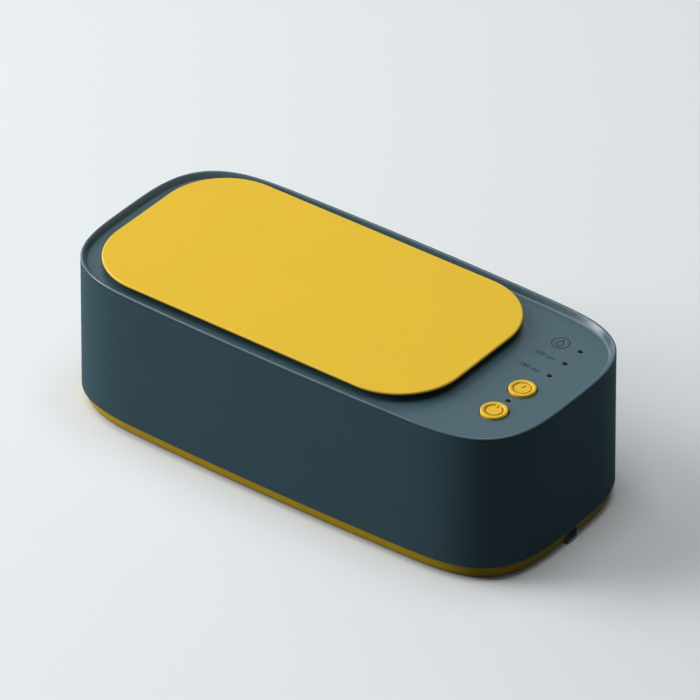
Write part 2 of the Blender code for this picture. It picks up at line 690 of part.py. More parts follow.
def make_driver_parts(ferrite, copper, black, aluminium, sleeve):
    """The power parts that stand on the driver board, each placed from the board's centre."""
    low = driver_board_top + PIECE_GAP
    core_x, core_y = driver_board_x + CORE_SHIFT, CORE_Y
    core_high = low + CORE_HEIGHT
    near = (core_x - CORE_DEPTH / 2, core_y - CORE_WIDTH / 2, low)
    far = (core_x + CORE_DEPTH / 2, core_y + CORE_WIDTH / 2, core_high)
    core = block("transformer_core", near, far, ferrite)
    window_low, window_high = low + CORE_YOKE, core_high - CORE_YOKE
    leg, window = CORE_LEG_RADIUS, CORE_WIDTH / 2 - CORE_SIDE
    loops = [
        circle_ring(leg, window_low, core_x, core_y),
        circle_ring(window, window_low, core_x, core_y),
        circle_ring(window, window_high, core_x, core_y),
        circle_ring(leg, window_high, core_x, core_y),
    ]
    joined(core, "window", [loops], "DIFFERENCE", ring=True)
    inner, outer = leg + PIECE_GAP, window - PIECE_GAP
    coil_low, coil_high = window_low + PIECE_GAP, window_high - PIECE_GAP
    profile = [(outer, coil_low), (outer, coil_high), (inner, coil_high), (inner, coil_low)]
    turned("transformer_coil", profile, copper, core_x, core_y, ring=True)
    profile = [(INDUCTOR_RADIUS, low), (INDUCTOR_RADIUS, low + INDUCTOR_HEIGHT)]
    turned("inductor", profile, copper, driver_board_x - INDUCTOR_SHIFT, INDUCTOR_Y)
    can_top = low + CAPACITOR_HEIGHT
    profile = [
        (CAPACITOR_RADIUS, low),
        (CAPACITOR_RADIUS, can_top - CAPACITOR_ROUND),
        (CAPACITOR_RADIUS - CAPACITOR_ROUND, can_top),
    ]
    turned("capacitor", profile, sleeve, driver_board_x - CAPACITOR_SHIFT, CAPACITOR_Y)
    right = driver_board_right - HEATSINK_EDGE
    left = right - HEATSINK_WALL
    front, back = HEATSINK_Y - HEATSINK_WIDTH / 2, HEATSINK_Y + HEATSINK_WIDTH / 2
    block("heatsink", (left, front, low), (right, back, low + HEATSINK_HEIGHT), aluminium)
    right = left - PIECE_GAP
    left = right - MOSFET_DEPTH
    front, back = HEATSINK_Y - MOSFET_WIDTH / 2, HEATSINK_Y + MOSFET_WIDTH / 2
    block("mosfet", (left, front, low), (right, back, low + MOSFET_HEIGHT), black)


def make_piezo_lead(name, y, land_y, material):
    """A lead that hangs from the disc, lies over the base's floor and rises to the driver board."""
    start = lid_x + LEAD_START
    floor = base_floor_top + LEAD_FLOOR_GAP
    board = driver_board_x - DRIVER_BOARD_LENGTH / 2
    land = driver_board_top + PIECE_GAP
    tube(name, [
        (start, y, piezo_bottom - PIECE_GAP),
        (start + LEAD_BEND / 3, y, piezo_bottom - LEAD_BEND),
        (start + LEAD_FALL, y, floor + LEAD_BEND / 3),
        (start + LEAD_LAY, y, floor),
        (board - LEAD_RISE, y, floor + LEAD_BEND / 3),
        (board - LEAD_BEND, land_y, land + LEAD_ARCH),
        (board + LEAD_LANDING / 2, land_y, land + LEAD_ARCH),
        (board + LEAD_LANDING, land_y, land),
    ], LEAD_DIAMETER, material)


def make_control_cable(grey):
    """The cable between the two boards, with a plug at each end."""
    low, high = control_board_box()
    across, along = PLUG_WIDTH / 2, PLUG_LENGTH / 2
    upper_x, upper_y = low[0] + PLUG_EDGE, high[1] - CONTROL_PLUG_SIDE
    top = control_board_under - PIECE_GAP
    upper = top - PLUG_HEIGHT
    near, far = (upper_x - along, upper_y - across, upper), (upper_x + along, upper_y + across, top)
    block("control_plug", near, far, grey)
    lower_x, lower_y = driver_board_x - DRIVER_BOARD_LENGTH / 2 + PLUG_EDGE, DRIVER_PLUG_Y
    bottom = driver_board_top + PIECE_GAP
    lower = bottom + PLUG_HEIGHT
    near, far = (lower_x - across, lower_y - along, bottom), (lower_x + across, lower_y + along, lower)
    block("driver_plug", near, far, grey)
    tube("control_cable", [
        (upper_x, upper_y, upper - PIECE_GAP),
        (upper_x, upper_y, upper - CABLE_BEND),
        (upper_x - CABLE_SWAY / 2, upper_y - CABLE_SWAY, upper - 2 * CABLE_BEND),
        (lower_x, lower_y + CABLE_SWAY, lower + 2 * CABLE_BEND),
        (lower_x, lower_y, lower + CABLE_BEND),
        (lower_x, lower_y, lower + PIECE_GAP),
    ], CABLE_DIAMETER, grey)


def make_inlet(black, steel, brass):
    half = JACK_WIDTH / 2
    jack = block("dc_jack", (jack_back, -half, base_bottom), (jack_front, half, base_top), black)
    along_x = Matrix.Rotation(math.pi / 2, 3, "Y")
    bore_end = jack_front - JACK_BORE_DEPTH

    def laid(radius, start, end):
        loops = cylinder_loops(radius, start, end, sides=SMALL_SIDES)
        return [[tuple(along_x @ Vector(p) + Vector((0.0, 0.0, jack_z))) for p in loop] for loop in loops]

    joined(jack, "bore", [laid(JACK_BORE_RADIUS, bore_end, jack_front + JACK_LENGTH)], "DIFFERENCE")
    lofted("jack_pin", [laid(JACK_PIN_RADIUS, bore_end + PIECE_GAP, jack_front - JACK_PIN_RECESS)], brass)
    back = jack_face - BEZEL_DEPTH
    bezel = block("jack_bezel", (back, -half, base_bottom), (jack_face, half, base_top), steel)
    window = box_loops((back - BEZEL_DEPTH, -half + BEZEL_WALL, base_bottom + BEZEL_WALL),
                       (jack_face + BEZEL_DEPTH, half - BEZEL_WALL, base_top - BEZEL_WALL))
    joined(bezel, "window", [window], "DIFFERENCE")


def make_base_screws(steel):
    head_top = base_bottom + COUNTERBORE_DEPTH - PIECE_GAP
    for number, (x, y) in enumerate(post_places(), 1):
        profile = [
            (SCREW_HEAD_RADIUS, head_top - SCREW_HEAD_HEIGHT),
            (SCREW_HEAD_RADIUS, head_top),
            (SCREW_RADIUS, head_top),
            (SCREW_RADIUS, post_bottom + SCREW_BITE),
        ]
        turned(f"base_screw_{number}", profile, steel, x, y, SMALL_SIDES)


def main():
    for old in list(bpy.data.objects):
        bpy.data.objects.remove(old)
    slate = finish("slate_plastic", (61, 86, 95), 0.5)
    yellow = finish("yellow_plastic", (222, 182, 38), 0.45)
    steel = finish("stainless_steel", (190, 192, 195), 0.25, 1.0)
    zinc = finish("zinc_steel", (160, 162, 165), 0.35, 1.0)
    silicone = finish("silicone", (205, 205, 200), 0.6)
    rubber = finish("rubber", (35, 36, 38), 0.8)
    ceramic = finish("piezo_ceramic", (196, 190, 172), 0.4)
    resin = finish("bond_resin", (120, 110, 95), 0.5)
    black = finish("black_plastic", (28, 29, 31), 0.45)
    white = finish("white_plastic", (220, 220, 215), 0.5)
    smoke = finish("smoked_acrylic", (10, 12, 14), 0.4)
    lens = finish("led_lens", (225, 225, 205), 0.2)
    green = finish("board_green", (38, 92, 58), 0.4)
    copper = finish("copper_winding", (178, 104, 60), 0.35, 1.0)
    ferrite = finish("ferrite", (52, 50, 50), 0.55)
    aluminium = finish("aluminium", (180, 182, 185), 0.4, 1.0)
    sleeve = finish("capacitor_sleeve", (34, 44, 74), 0.4)
    brass = finish("brass", (196, 160, 84), 0.3, 1.0)
    red = finish("red_insulation", (170, 36, 32), 0.5)
    grey = finish("grey_insulation", (120, 122, 124), 0.55)
    make_shell(slate)
    make_deck(slate)
    make_base(yellow, rubber)
    make_lid(yellow, silicone)
    make_tank(steel, silicone, ceramic, resin)
    make_button("power", power_button_y, yellow, black, white)
    make_button("timer", timer_button_y, yellow, black, white)
    for name, (x, y) in light_places.items():
        make_light(name, x, y, smoke, lens)
    make_control_board(green, zinc)
    make_driver_board(green, zinc)
    make_driver_parts(ferrite, copper, black, aluminium, sleeve)
    make_piezo_lead("piezo_lead_live", LEAD_SPREAD, LIVE_LAND_Y, red)
    make_piezo_lead("piezo_lead_return", -LEAD_SPREAD, RETURN_LAND_Y, black)
    make_control_cable(grey)
    make_inlet(black, zinc, brass)
    make_base_screws(zinc)


main()
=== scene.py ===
# %% [markdown]
# # A household ultrasonic cleaner
# A slate case with soft corners stands on a tucked-in yellow base. A yellow lid lies over a steel
# tank, and two yellow buttons and four dark indicator lights sit on the recessed deck at one end.
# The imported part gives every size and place, and this lesson dresses it: smooth shells, rounded
# edges, engraved symbols and real finishes.

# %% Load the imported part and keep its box
import json
import math
from collections import namedtuple

import bmesh
import bpy
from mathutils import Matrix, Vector


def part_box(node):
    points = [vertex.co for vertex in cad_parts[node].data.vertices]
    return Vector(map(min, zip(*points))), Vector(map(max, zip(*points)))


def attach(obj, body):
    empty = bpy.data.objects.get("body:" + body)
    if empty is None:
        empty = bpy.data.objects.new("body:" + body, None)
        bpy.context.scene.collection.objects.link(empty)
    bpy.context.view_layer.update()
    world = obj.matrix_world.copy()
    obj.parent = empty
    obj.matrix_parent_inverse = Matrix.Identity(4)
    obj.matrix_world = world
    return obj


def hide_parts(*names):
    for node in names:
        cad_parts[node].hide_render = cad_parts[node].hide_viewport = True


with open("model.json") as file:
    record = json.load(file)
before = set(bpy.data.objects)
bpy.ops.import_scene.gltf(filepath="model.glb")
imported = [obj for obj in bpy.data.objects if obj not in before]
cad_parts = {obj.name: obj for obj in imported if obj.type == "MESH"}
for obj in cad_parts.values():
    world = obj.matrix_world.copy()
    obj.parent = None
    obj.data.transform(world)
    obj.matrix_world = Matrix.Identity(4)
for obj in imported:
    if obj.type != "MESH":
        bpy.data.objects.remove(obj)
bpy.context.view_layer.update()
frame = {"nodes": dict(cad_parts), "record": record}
MM = 0.001

# %% [markdown]
# ## Camera
# A long lens far away keeps the long edges almost parallel, as in a product picture. The camera is
# placed by the direction it looks from, so the numbers can be read as angles.

# %% Camera
AZIMUTH = math.radians(37.16)
ELEVATION = math.radians(34.76)
DISTANCE = 2.724
FOCAL_PIXELS = 7740
PICTURE_PIXELS = 700
SENSOR = 36.0
AIM_X, AIM_Y, AIM_DROP = 19.37 * MM, -23.24 * MM, 0.13 * MM
aim = Vector((AIM_X, AIM_Y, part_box("body_shell")[1].z - AIM_DROP))
back = Vector((
    math.sin(AZIMUTH) * math.cos(ELEVATION),
    -math.cos(AZIMUTH) * math.cos(ELEVATION),
    math.sin(ELEVATION),
))
bpy.ops.object.select_all(action="DESELECT")
bpy.ops.object.camera_add(
    location=aim + DISTANCE * back, rotation=(math.pi / 2 - ELEVATION, 0.0, AZIMUTH)
)
camera = bpy.context.object
camera.data.sensor_width = SENSOR
camera.data.lens = SENSOR * FOCAL_PIXELS / PICTURE_PIXELS
bpy.context.scene.camera = camera
print("lens", round(camera.data.lens), "mm")

# %% [markdown]
# ## Shader maths as Python
# A finish is a small network of nodes. Wrapping a socket in a class lets plus, minus and times add
# the Math nodes, and one method makes every other node, so each finish below reads as a short
# formula.

# %% One class for the nodes of a finish
class Wire:
    """One socket in a node tree. Arithmetic on it adds Math nodes."""

    def __init__(self, tree, socket=None):
        self.tree = tree
        self.socket = socket

    def node(self, kind, settings=None, sockets=None, output=0):
        """Adds a node, fills its sockets and gives one of its outputs."""
        made = self.tree.nodes.new("ShaderNode" + kind)
        for name, value in (settings or {}).items():
            setattr(made, name, value)
        for name, value in (sockets or {}).items():
            self.feed(made.inputs[name], value)
        return Wire(self.tree, made.outputs[output])

    def feed(self, socket, value):
        """Links a wire to a socket, or sets the socket to a constant."""
        if isinstance(value, Wire):
            self.tree.links.new(value.socket, socket)
        else:
            socket.default_value = value

    def maths(self, operation, first, second):
        """Adds a Math node with two inputs."""
        settings = {"operation": operation, "use_clamp": False}
        return self.node("Math", settings, {0: first, 1: second})

    def __add__(self, other):
        return self.maths("ADD", self, other)

    def __sub__(self, other):
        return self.maths("SUBTRACT", self, other)

    def __rsub__(self, other):
        return self.maths("SUBTRACT", other, self)

    def __mul__(self, other):
        return self.maths("MULTIPLY", self, other)

    def __gt__(self, other):
        return self.maths("GREATER_THAN", self, other)

    __radd__ = __add__
    __rmul__ = __mul__


def tone(red, green, blue):
    """A screen colour in 8-bit numbers as the linear colour that a shader takes."""
    return (*[((part / 255 + 0.055) / 1.055) ** 2.4 for part in (red, green, blue)], 1.0)


def shaded(colour, factor):
    """A linear colour made darker or lighter, never past white."""
    return (*[min(part * factor, 1.0) for part in colour[:3]], 1.0)


print("wire operators: + - * >")

# %% [markdown]
# ## Finishes
# Moulded plastic is never one flat colour. It has a faint cloudiness from the melt, a fine grain
# that the mould left, and gloss that differs a little from place to place. Metal shows its working
# instead: fine lines along the way it was drawn or turned. The recipes below take a colour and
# those few habits, and each finish of the part is one call.

# %% What every finish needs
def begin(name, **constants):
    """A new material with its shader's constants set, its shader and its coordinates."""
    material = bpy.data.materials.new(name)
    material.use_nodes = True
    shader = material.node_tree.nodes["Principled BSDF"]
    for socket, value in constants.items():
        shader.inputs[socket.replace("_", " ")].default_value = value
    place = Wire(material.node_tree).node("TexCoord", output="Object")
    return material, shader, place


def noise(place, size, detail=3.0, stretch=(1.0, 1.0, 1.0)):
    """Soft noise from 0 to 1 with blotches of about this size, stretched along an axis."""
    scaled = place.node("Mapping", {"vector_type": "POINT"}, {"Vector": place, "Scale": stretch})
    sockets = {"Vector": scaled, "Scale": 1 / size, "Detail": detail}
    return place.node("TexNoise", None, sockets)


def blend(factor, first, second):
    """The first colour where the factor is 0, and the second where it is 1."""
    settings = {"data_type": "RGBA"}
    return factor.node("Mix", settings, {0: factor, 6: first, 7: second}, output=2)


def bumped(shader, height, depth):
    """Tilts the surface as a height from 0 to 1 would, scaled to this depth in metres."""
    sockets = {"Height": height, "Distance": depth, "Strength": 1.0}
    height.feed(shader.inputs["Normal"], height.node("Bump", None, sockets, output="Normal"))


print("finish helpers: begin, noise, blend, bumped")

# %% [markdown]
# The numbers at the top say how strong each habit is. A winding shows its turns as well, and a
# circuit board its tracks. One band of the Wave texture is 0.314 wide at a scale of 1, so the scale
# follows from the pitch of the wire.

# %% Recipes for plastic and metal
FINE_DETAIL = 2.0
CLOUD_SIZE = 22 * MM
CLOUD_GLOSS, GRAIN_GLOSS = 0.10, 0.08
STAIN_SIZE = 9 * MM
LINE_GLOSS, STAIN_GLOSS = 0.12, 0.08
LINE_DARK, LINE_LIGHT = 0.88, 1.06
WAVE_BAND = 0.314
TURN_DARK, TURN_DEPTH = 0.35, 0.1 * MM
TRACK_SCALE, TRACK_EDGE = 380.0, 0.42
TRACK_PATCH, TRACK_DEPTH = 7 * MM, 0.03 * MM
MASK_ROUGHNESS, TRACK_GLOSS = 0.42, 0.12


def moulded(name, colour, roughness, specular, grain=0.25 * MM, depth=0.006 * MM, cloud=0.05):
    """Plastic, rubber or resin from a mould."""
    material, shader, place = begin(name, Specular_IOR_Level=specular)
    clouds = noise(place, CLOUD_SIZE)
    grit = noise(place, grain, FINE_DETAIL)
    dark, light = shaded(colour, 1 - cloud), shaded(colour, 1 + cloud)
    gloss = roughness + CLOUD_GLOSS * (clouds - 0.5) + GRAIN_GLOSS * (grit - 0.5)
    place.feed(shader.inputs["Base Color"], blend(clouds, dark, light))
    place.feed(shader.inputs["Roughness"], gloss)
    bumped(shader, grit, depth)
    return material


def worked_metal(
    name, colour, roughness, line=0.12 * MM, stretch=(0.02, 1.0, 1.0), depth=0.002 * MM
):
    """Metal with the fine lines of drawing or turning, which run where the stretch is small."""
    material, shader, place = begin(name, Metallic=1.0)
    lines = noise(place, line, FINE_DETAIL, stretch)
    stains = noise(place, STAIN_SIZE)
    dark, light = shaded(colour, LINE_DARK), shaded(colour, LINE_LIGHT)
    gloss = roughness + LINE_GLOSS * (lines - 0.5) + STAIN_GLOSS * (stains - 0.5)
    place.feed(shader.inputs["Base Color"], blend(lines, dark, light))
    place.feed(shader.inputs["Roughness"], gloss)
    bumped(shader, lines, depth)
    return material


def wound(name, colour, pitch):
    """Enamelled wire wound about an upright axis: one band of light and shade to each turn."""
    material, shader, place = begin(name, Metallic=1.0, Roughness=0.32)
    settings = {"wave_type": "BANDS", "bands_direction": "Z", "wave_profile": "SIN"}
    sockets = {"Vector": place, "Scale": WAVE_BAND / pitch, "Distortion": 0.4}
    turns = place.node("TexWave", settings, sockets)
    place.feed(shader.inputs["Base Color"], blend(turns, shaded(colour, TURN_DARK), colour))
    bumped(shader, turns, TURN_DEPTH)
    return material


def circuit_board(name, mask_colour, track_colour):
    """Glass-epoxy board: lighter copper tracks show through the solder mask."""
    material, shader, place = begin(name, Specular_IOR_Level=0.5)
    settings = {"feature": "F1", "distance": "MANHATTAN"}
    sockets = {"Vector": place, "Scale": TRACK_SCALE}
    cells = place.node("TexVoronoi", settings, sockets, output="Distance")
    tracks = (cells > TRACK_EDGE) * (noise(place, TRACK_PATCH) > 0.5)
    place.feed(shader.inputs["Base Color"], blend(tracks, mask_colour, track_colour))
    place.feed(shader.inputs["Roughness"], MASK_ROUGHNESS - TRACK_GLOSS * tracks)
    bumped(shader, tracks, TRACK_DEPTH)
    return material


print("recipes: moulded, worked_metal, wound, circuit_board")

# %% [markdown]
# Each of the record's slots gets its finish here. The rim of the slate case is handled more than
# the rest, so its plastic has one thing more: along the very top, rubbing has made it a little
# smoother, so it gleams there.

# %% The finishes of this part
SLATE = tone(60, 85, 94)
YELLOW = tone(222, 181, 32)
# The darker amber below is painted shade for the grooves of the button signs.
GROOVE_SHADE_AMBER = tone(188, 130, 16)
PRINT_INK = tone(27, 42, 49)
RUB_END, RUB_FULL = 2.4 * MM, 1.4 * MM
RUB_GLOSS, PATCH_GLOSS, PATCH_SIZE = 0.09, 0.06, 5 * MM


def slate_with_worn_rim(name):
    """The case's plastic, smoother near the top of the rim."""
    material = moulded(name, SLATE, 0.36, 0.48)
    tree = material.node_tree
    shader = tree.nodes["Principled BSDF"]
    place = Wire(tree).node("TexCoord", output="Object")
    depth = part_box("body_shell")[1].z - place.node("SeparateXYZ", None, {0: place}, output="Z")
    sockets = {"Value": depth, "From Min": RUB_END, "From Max": RUB_FULL}
    rubbed = place.node("MapRange", None, sockets)
    gloss = RUB_GLOSS + PATCH_GLOSS * noise(place, PATCH_SIZE)
    plain = Wire(tree, shader.inputs["Roughness"].links[0].from_socket)
    place.feed(shader.inputs["Roughness"], plain - rubbed * gloss)
    return material


finishes = {
    "slate_plastic": slate_with_worn_rim("slate_plastic"),
    "yellow_plastic": moulded(
        "yellow_plastic", YELLOW, 0.42, 0.38, depth=0.004 * MM, cloud=0.025
    ),
    "stainless_steel": worked_metal("stainless_steel", tone(206, 208, 210), 0.24),
    "zinc_steel": worked_metal("zinc_steel", tone(186, 187, 186), 0.34, stretch=(1.0, 1.0, 0.05)),
    "silicone": moulded("silicone", tone(205, 205, 199), 0.62, 0.3),
    "rubber": moulded(
        "rubber", tone(36, 37, 39), 0.78, 0.25, grain=0.4 * MM, depth=0.02 * MM, cloud=0.12
    ),
    "piezo_ceramic": moulded(
        "piezo_ceramic", tone(196, 190, 172), 0.38, 0.5, grain=0.5 * MM, cloud=0.07
    ),
    "bond_resin": moulded(
        "bond_resin", tone(121, 110, 94), 0.42, 0.5, grain=1.2 * MM, cloud=0.2
    ),
    "black_plastic": moulded("black_plastic", tone(28, 29, 31), 0.46, 0.4, cloud=0.1),
    "white_plastic": moulded("white_plastic", tone(222, 221, 214), 0.48, 0.4),
    "smoked_acrylic": moulded(
        "smoked_acrylic", tone(9, 11, 13), 0.42, 0.08, depth=0.001 * MM, cloud=0.15
    ),
    "led_lens": moulded("led_lens", tone(226, 226, 206), 0.2, 0.5, depth=0.001 * MM, cloud=0.08),
    "board_green": circuit_board("board_green", tone(34, 86, 54), tone(66, 122, 70)),
    "copper_winding": wound("copper_winding", tone(188, 110, 62), 0.45 * MM),
    "ferrite": moulded(
        "ferrite", tone(52, 50, 50), 0.55, 0.5, grain=0.15 * MM, depth=0.015 * MM, cloud=0.1
    ),
    "aluminium": worked_metal("aluminium", tone(196, 198, 200), 0.36, stretch=(1.0, 1.0, 0.03)),
    "capacitor_sleeve": moulded("capacitor_sleeve", tone(34, 44, 76), 0.34, 0.5, cloud=0.1),
    "brass": worked_metal("brass", tone(206, 172, 96), 0.26, stretch=(1.0, 0.05, 0.05)),
    "red_insulation": moulded("red_insulation", tone(170, 36, 32), 0.45, 0.45, cloud=0.08),
    "grey_insulation": moulded("grey_insulation", tone(122, 124, 126), 0.5, 0.4, cloud=0.08),
}
# The finish of the groove faces: a darker amber that paints shade into the grooves.
groove_shade_finish = moulded("groove_painted_shade", GROOVE_SHADE_AMBER, 0.6, 0.2)
ink_finish = moulded("print_ink", PRINT_INK, 0.55, 0.25, grain=0.1 * MM, cloud=0.12)
print(len(finishes), "finishes")

# %% [markdown]
# ## Outlines
# From above, the case is a rectangle whose corners run out softly into the sides, so no corner
# circle fits it: it needs a superellipse, a curve with a power above 2. Its long sides bow outwards
# as well, by about 2.5 mm from the ends to the middle, which keeps a big moulding from looking
# caved in. The lid is a rectangle with round corners, and a circle is the same outline with nothing
# straight left.

# %% Outlines and arcs
CORNER_POINTS = 33
SIDE_POINTS = 5
QUARTER_POINTS = CORNER_POINTS + SIDE_POINTS
Outline = namedtuple("Outline", "x y length width reach power bow", defaults=(0.0,))


def disc(x, y, radius):
    """A round outline."""
    return Outline(x, y, 2 * radius, 2 * radius, radius, 2.0)


def axis_of(node):
    """Where the upright axis of a node stands."""
    low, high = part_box(node)
    return (low.x + high.x) / 2, (low.y + high.y) / 2


def round_outline(node):
    """The circle round an upright node, with its centre on the node's axis."""
    low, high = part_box(node)
    return disc(*axis_of(node), (high.y - low.y) / 2)


def outline_point(outline, seat, offset):
    """The point of this seat, counted round the outline from +X, moved outwards by the offset."""
    quarter, step = divmod(seat, QUARTER_POINTS)
    if quarter % 2:
        step = QUARTER_POINTS - 1 - step
    angle = math.pi / 4 * (1 - math.cos(math.pi * min(step / (CORNER_POINTS - 1), 1.0)))
    cosine, sine = max(math.cos(angle), 0.0), max(math.sin(angle), 0.0)
    root = 1 / (outline.power - 1)
    total = cosine ** (outline.power * root) + sine ** (outline.power * root)
    size = total ** (1 / outline.power)
    along = 1 - 2 * max(step - CORNER_POINTS + 1, 0) / (2 * SIDE_POINTS + 1)
    x = (outline.length / 2 - outline.reach) * along + outline.reach * cosine**root / size
    y = outline.width / 2 - outline.reach * (1 - sine**root / size)
    y *= 1 - outline.bow * (2 * x / outline.length) ** 2
    x, y = x + offset * cosine, y + offset * sine
    x, y = x if quarter in (0, 3) else -x, y if quarter < 2 else -y
    return outline.x + x, outline.y + y


def arc(centre, reach, start, end, steps):
    """Points of an ellipse's arc in the (offset, height) plane, with angles in degrees."""
    points = []
    for step in range(steps + 1):
        angle = math.radians(start + (end - start) * step / steps)
        offset = centre[0] + reach[0] * math.cos(angle)
        points.append((offset, centre[1] + reach[1] * math.sin(angle)))
    return points


def round_arc(centre, radius, start, end, steps):
    """The same for a circle."""
    return arc(centre, (radius, radius), start, end, steps)


print("outline points per loop:", 4 * QUARTER_POINTS)

# %% [markdown]
# ## Loops
# A shell is made as by hand: a circle is added, its points are laid on the outline, and the loop is
# extruded upwards and inwards, with each new loop laid at its own offset and height. Each point
# keeps the number of its seat on the first circle, so every loop lines up with the one before.

# %% Pieces made loop by loop
MERGE = 0.001 * MM


def lay_loop(outline, offset, z):
    """Puts the selected points on the outline, each at its own seat."""
    mesh = bmesh.from_edit_mesh(bpy.context.object.data)
    seat = mesh.verts.layers.int["seat"]
    for point in mesh.verts:
        if point.select:
            point.co = (*outline_point(outline, point[seat], offset), z)
    bmesh.update_edit_mesh(bpy.context.object.data)


def lofted(name, outline, profile, ring=False):
    """Extrudes a circle through (offset, height) points.

    A ring closes on its first loop, and other pieces have flat ends.
    """
    bpy.ops.object.select_all(action="DESELECT")
    bpy.ops.mesh.primitive_circle_add(
        vertices=4 * QUARTER_POINTS,
        radius=outline.width / 2,
        fill_type="NOTHING" if ring else "NGON",
    )
    piece = bpy.context.object
    piece.name = piece.data.name = name
    bpy.ops.object.mode_set(mode="EDIT")
    mesh = bmesh.from_edit_mesh(piece.data)
    seat = mesh.verts.layers.int.new("seat")
    for point in mesh.verts:
        point[seat] = point.index
    lay_loop(outline, *profile[0])
    for point in profile[1:] + profile[:1] * ring:
        bpy.ops.mesh.extrude_region_move()
        lay_loop(outline, *point)
    bpy.ops.mesh.select_all(action="SELECT")
    bpy.ops.mesh.remove_doubles(threshold=MERGE)
    bpy.ops.mesh.normals_make_consistent(inside=False)
    bpy.ops.object.mode_set(mode="OBJECT")
    return piece


def rod(x, y, radius, low, high):
    """An upright round tool for Boolean work."""
    return lofted("tool", disc(x, y, radius), [(0.0, low), (0.0, high)])


print("loop helpers: lofted, rod")

# %% [markdown]
# ## Edges, cuts and finish
# Wide rounds are loops of their own, and a bevel makes the narrow ones. Holes and bosses are
# Boolean work. The last helper shades a piece, gives it its finish and fixes it to the body that
# carries it.

# %% Edges, cuts and finish
SHARP = math.radians(30)


def use(piece):
    """Makes a piece the only selected one and the one that operators act on."""
    bpy.ops.object.select_all(action="DESELECT")
    piece.select_set(True)
    bpy.context.view_layer.objects.active = piece


def round_edges(piece, radius, segments, where):
    """Bevels the sharp edges whose middle passes the test."""
    use(piece)
    bpy.ops.object.mode_set(mode="EDIT")
    bpy.ops.mesh.select_mode(type="EDGE")
    bpy.ops.mesh.select_all(action="DESELECT")
    mesh = bmesh.from_edit_mesh(piece.data)
    for edge in mesh.edges:
        sharp = len(edge.link_faces) == 2 and edge.calc_face_angle() > SHARP
        edge.select_set(sharp and where((edge.verts[0].co + edge.verts[1].co) / 2))
    bmesh.update_edit_mesh(piece.data)
    bpy.ops.mesh.bevel(offset=radius, segments=segments, affect="EDGES", clamp_overlap=True)
    bpy.ops.mesh.select_mode(type="VERT")
    bpy.ops.object.mode_set(mode="OBJECT")


def combine(piece, operation, tools):
    """Joins the tools to the piece (UNION) or cuts them from it (DIFFERENCE), and removes them."""
    for tool in tools:
        use(piece)
        bpy.ops.object.modifier_add(type="BOOLEAN")
        modifier = piece.modifiers[-1]
        modifier.operation = operation
        modifier.solver = "EXACT"
        modifier.object = tool
        bpy.ops.object.modifier_apply(modifier=modifier.name)
        bpy.data.objects.remove(tool)


def finished(piece, body, slot, *nodes, smooth=35):
    """Shades a piece, gives it its finish, and says what carries it and what it replaces."""
    use(piece)
    bpy.ops.object.shade_smooth_by_angle(angle=math.radians(smooth))
    bpy.ops.object.modifier_add(type="WEIGHTED_NORMAL")
    piece.modifiers[-1].keep_sharp = True
    bpy.ops.object.modifier_apply(modifier=piece.modifiers[-1].name)
    piece.data.materials.clear()
    piece.data.materials.append(finishes[slot])
    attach(piece, body)
    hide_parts(*nodes)
    print(piece.name, len(piece.data.polygons), "faces")


print("edge and Boolean helpers ready")

# %% [markdown]
# ## The case
# A slate sleeve, open at both ends, with walls that grow outwards a little on the way down so that
# it leaves its mould. A ledge inside carries the deck. The rim is the part that catches the light:
# its crest is a small true round, and from there it slopes down inwards to a round foot on the
# deck. The case and the deck meet in that foot, so both take their part of it from the same values.

# %% Sizes of the case and its rim
DRAFT = 0.6 * MM
WALL = 2.2 * MM
SIDE_BOW = 0.054
CORNER_REACH = 45.8 * MM
CORNER_POWER = 3.5
RIM_ROUND = 0.6 * MM
RIM_SLOPE = 60
RIM_FOOT = 1.3 * MM
SMALL_ROUND = 0.2 * MM
POST_RADIUS = 2.75 * MM
LEDGE_WIDTH = 2.2 * MM
LEDGE_THICKNESS = 1.2 * MM
DECK_DEPTH = 2.6 * MM
DECK_THICKNESS = 2.0 * MM
GAP = 0.3 * MM
SEAM = 0.05 * MM
shell_low, shell_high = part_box("body_shell")
rim_top, shell_bottom = shell_high.z, shell_low.z
deck_top = rim_top - DECK_DEPTH
deck_under = deck_top - DECK_THICKNESS
case_outline = Outline(
    0.0, 0.0,
    shell_high.x - shell_low.x - 2 * DRAFT,
    shell_high.y - shell_low.y - 2 * DRAFT,
    CORNER_REACH,
    CORNER_POWER,
    SIDE_BOW,
)
post_axes = [axis_of(f"base_screw_{number}") for number in (1, 2, 3, 4)]


def draft_at(z):
    """How far the walls have grown outwards at this height."""
    return DRAFT * (rim_top - z) / (rim_top - shell_bottom)


ledge_top = deck_under - SEAM
ledge_low = ledge_top - LEDGE_THICKNESS
ledge_inner = draft_at(ledge_top) - WALL - LEDGE_WIDTH
ledge_foot = ledge_low - LEDGE_WIDTH
crest = round_arc((-RIM_ROUND, rim_top - RIM_ROUND), RIM_ROUND, 0, 90 + RIM_SLOPE, 14)
slope = math.radians(RIM_SLOPE)
slope_drop = crest[-1][1] - deck_top - RIM_FOOT * (1 - math.cos(slope))
foot_x = crest[-1][0] - slope_drop / math.tan(slope) - RIM_FOOT * math.sin(slope)
foot_centre = (foot_x, deck_top + RIM_FOOT)


def foot_angle(offset):
    """Where on the round foot of the rim this offset lies, in degrees."""
    return -math.degrees(math.acos((offset - foot_x) / RIM_FOOT))


print("the rim reaches in by", round(-foot_x / MM, 2), "mm")

# %% [markdown]
# With its points known, the sleeve is one ring of loops: up the outside, over the crest, down
# inside past the ledge and back to the first loop. Four notches in the ledge let the deck's screw
# posts through.

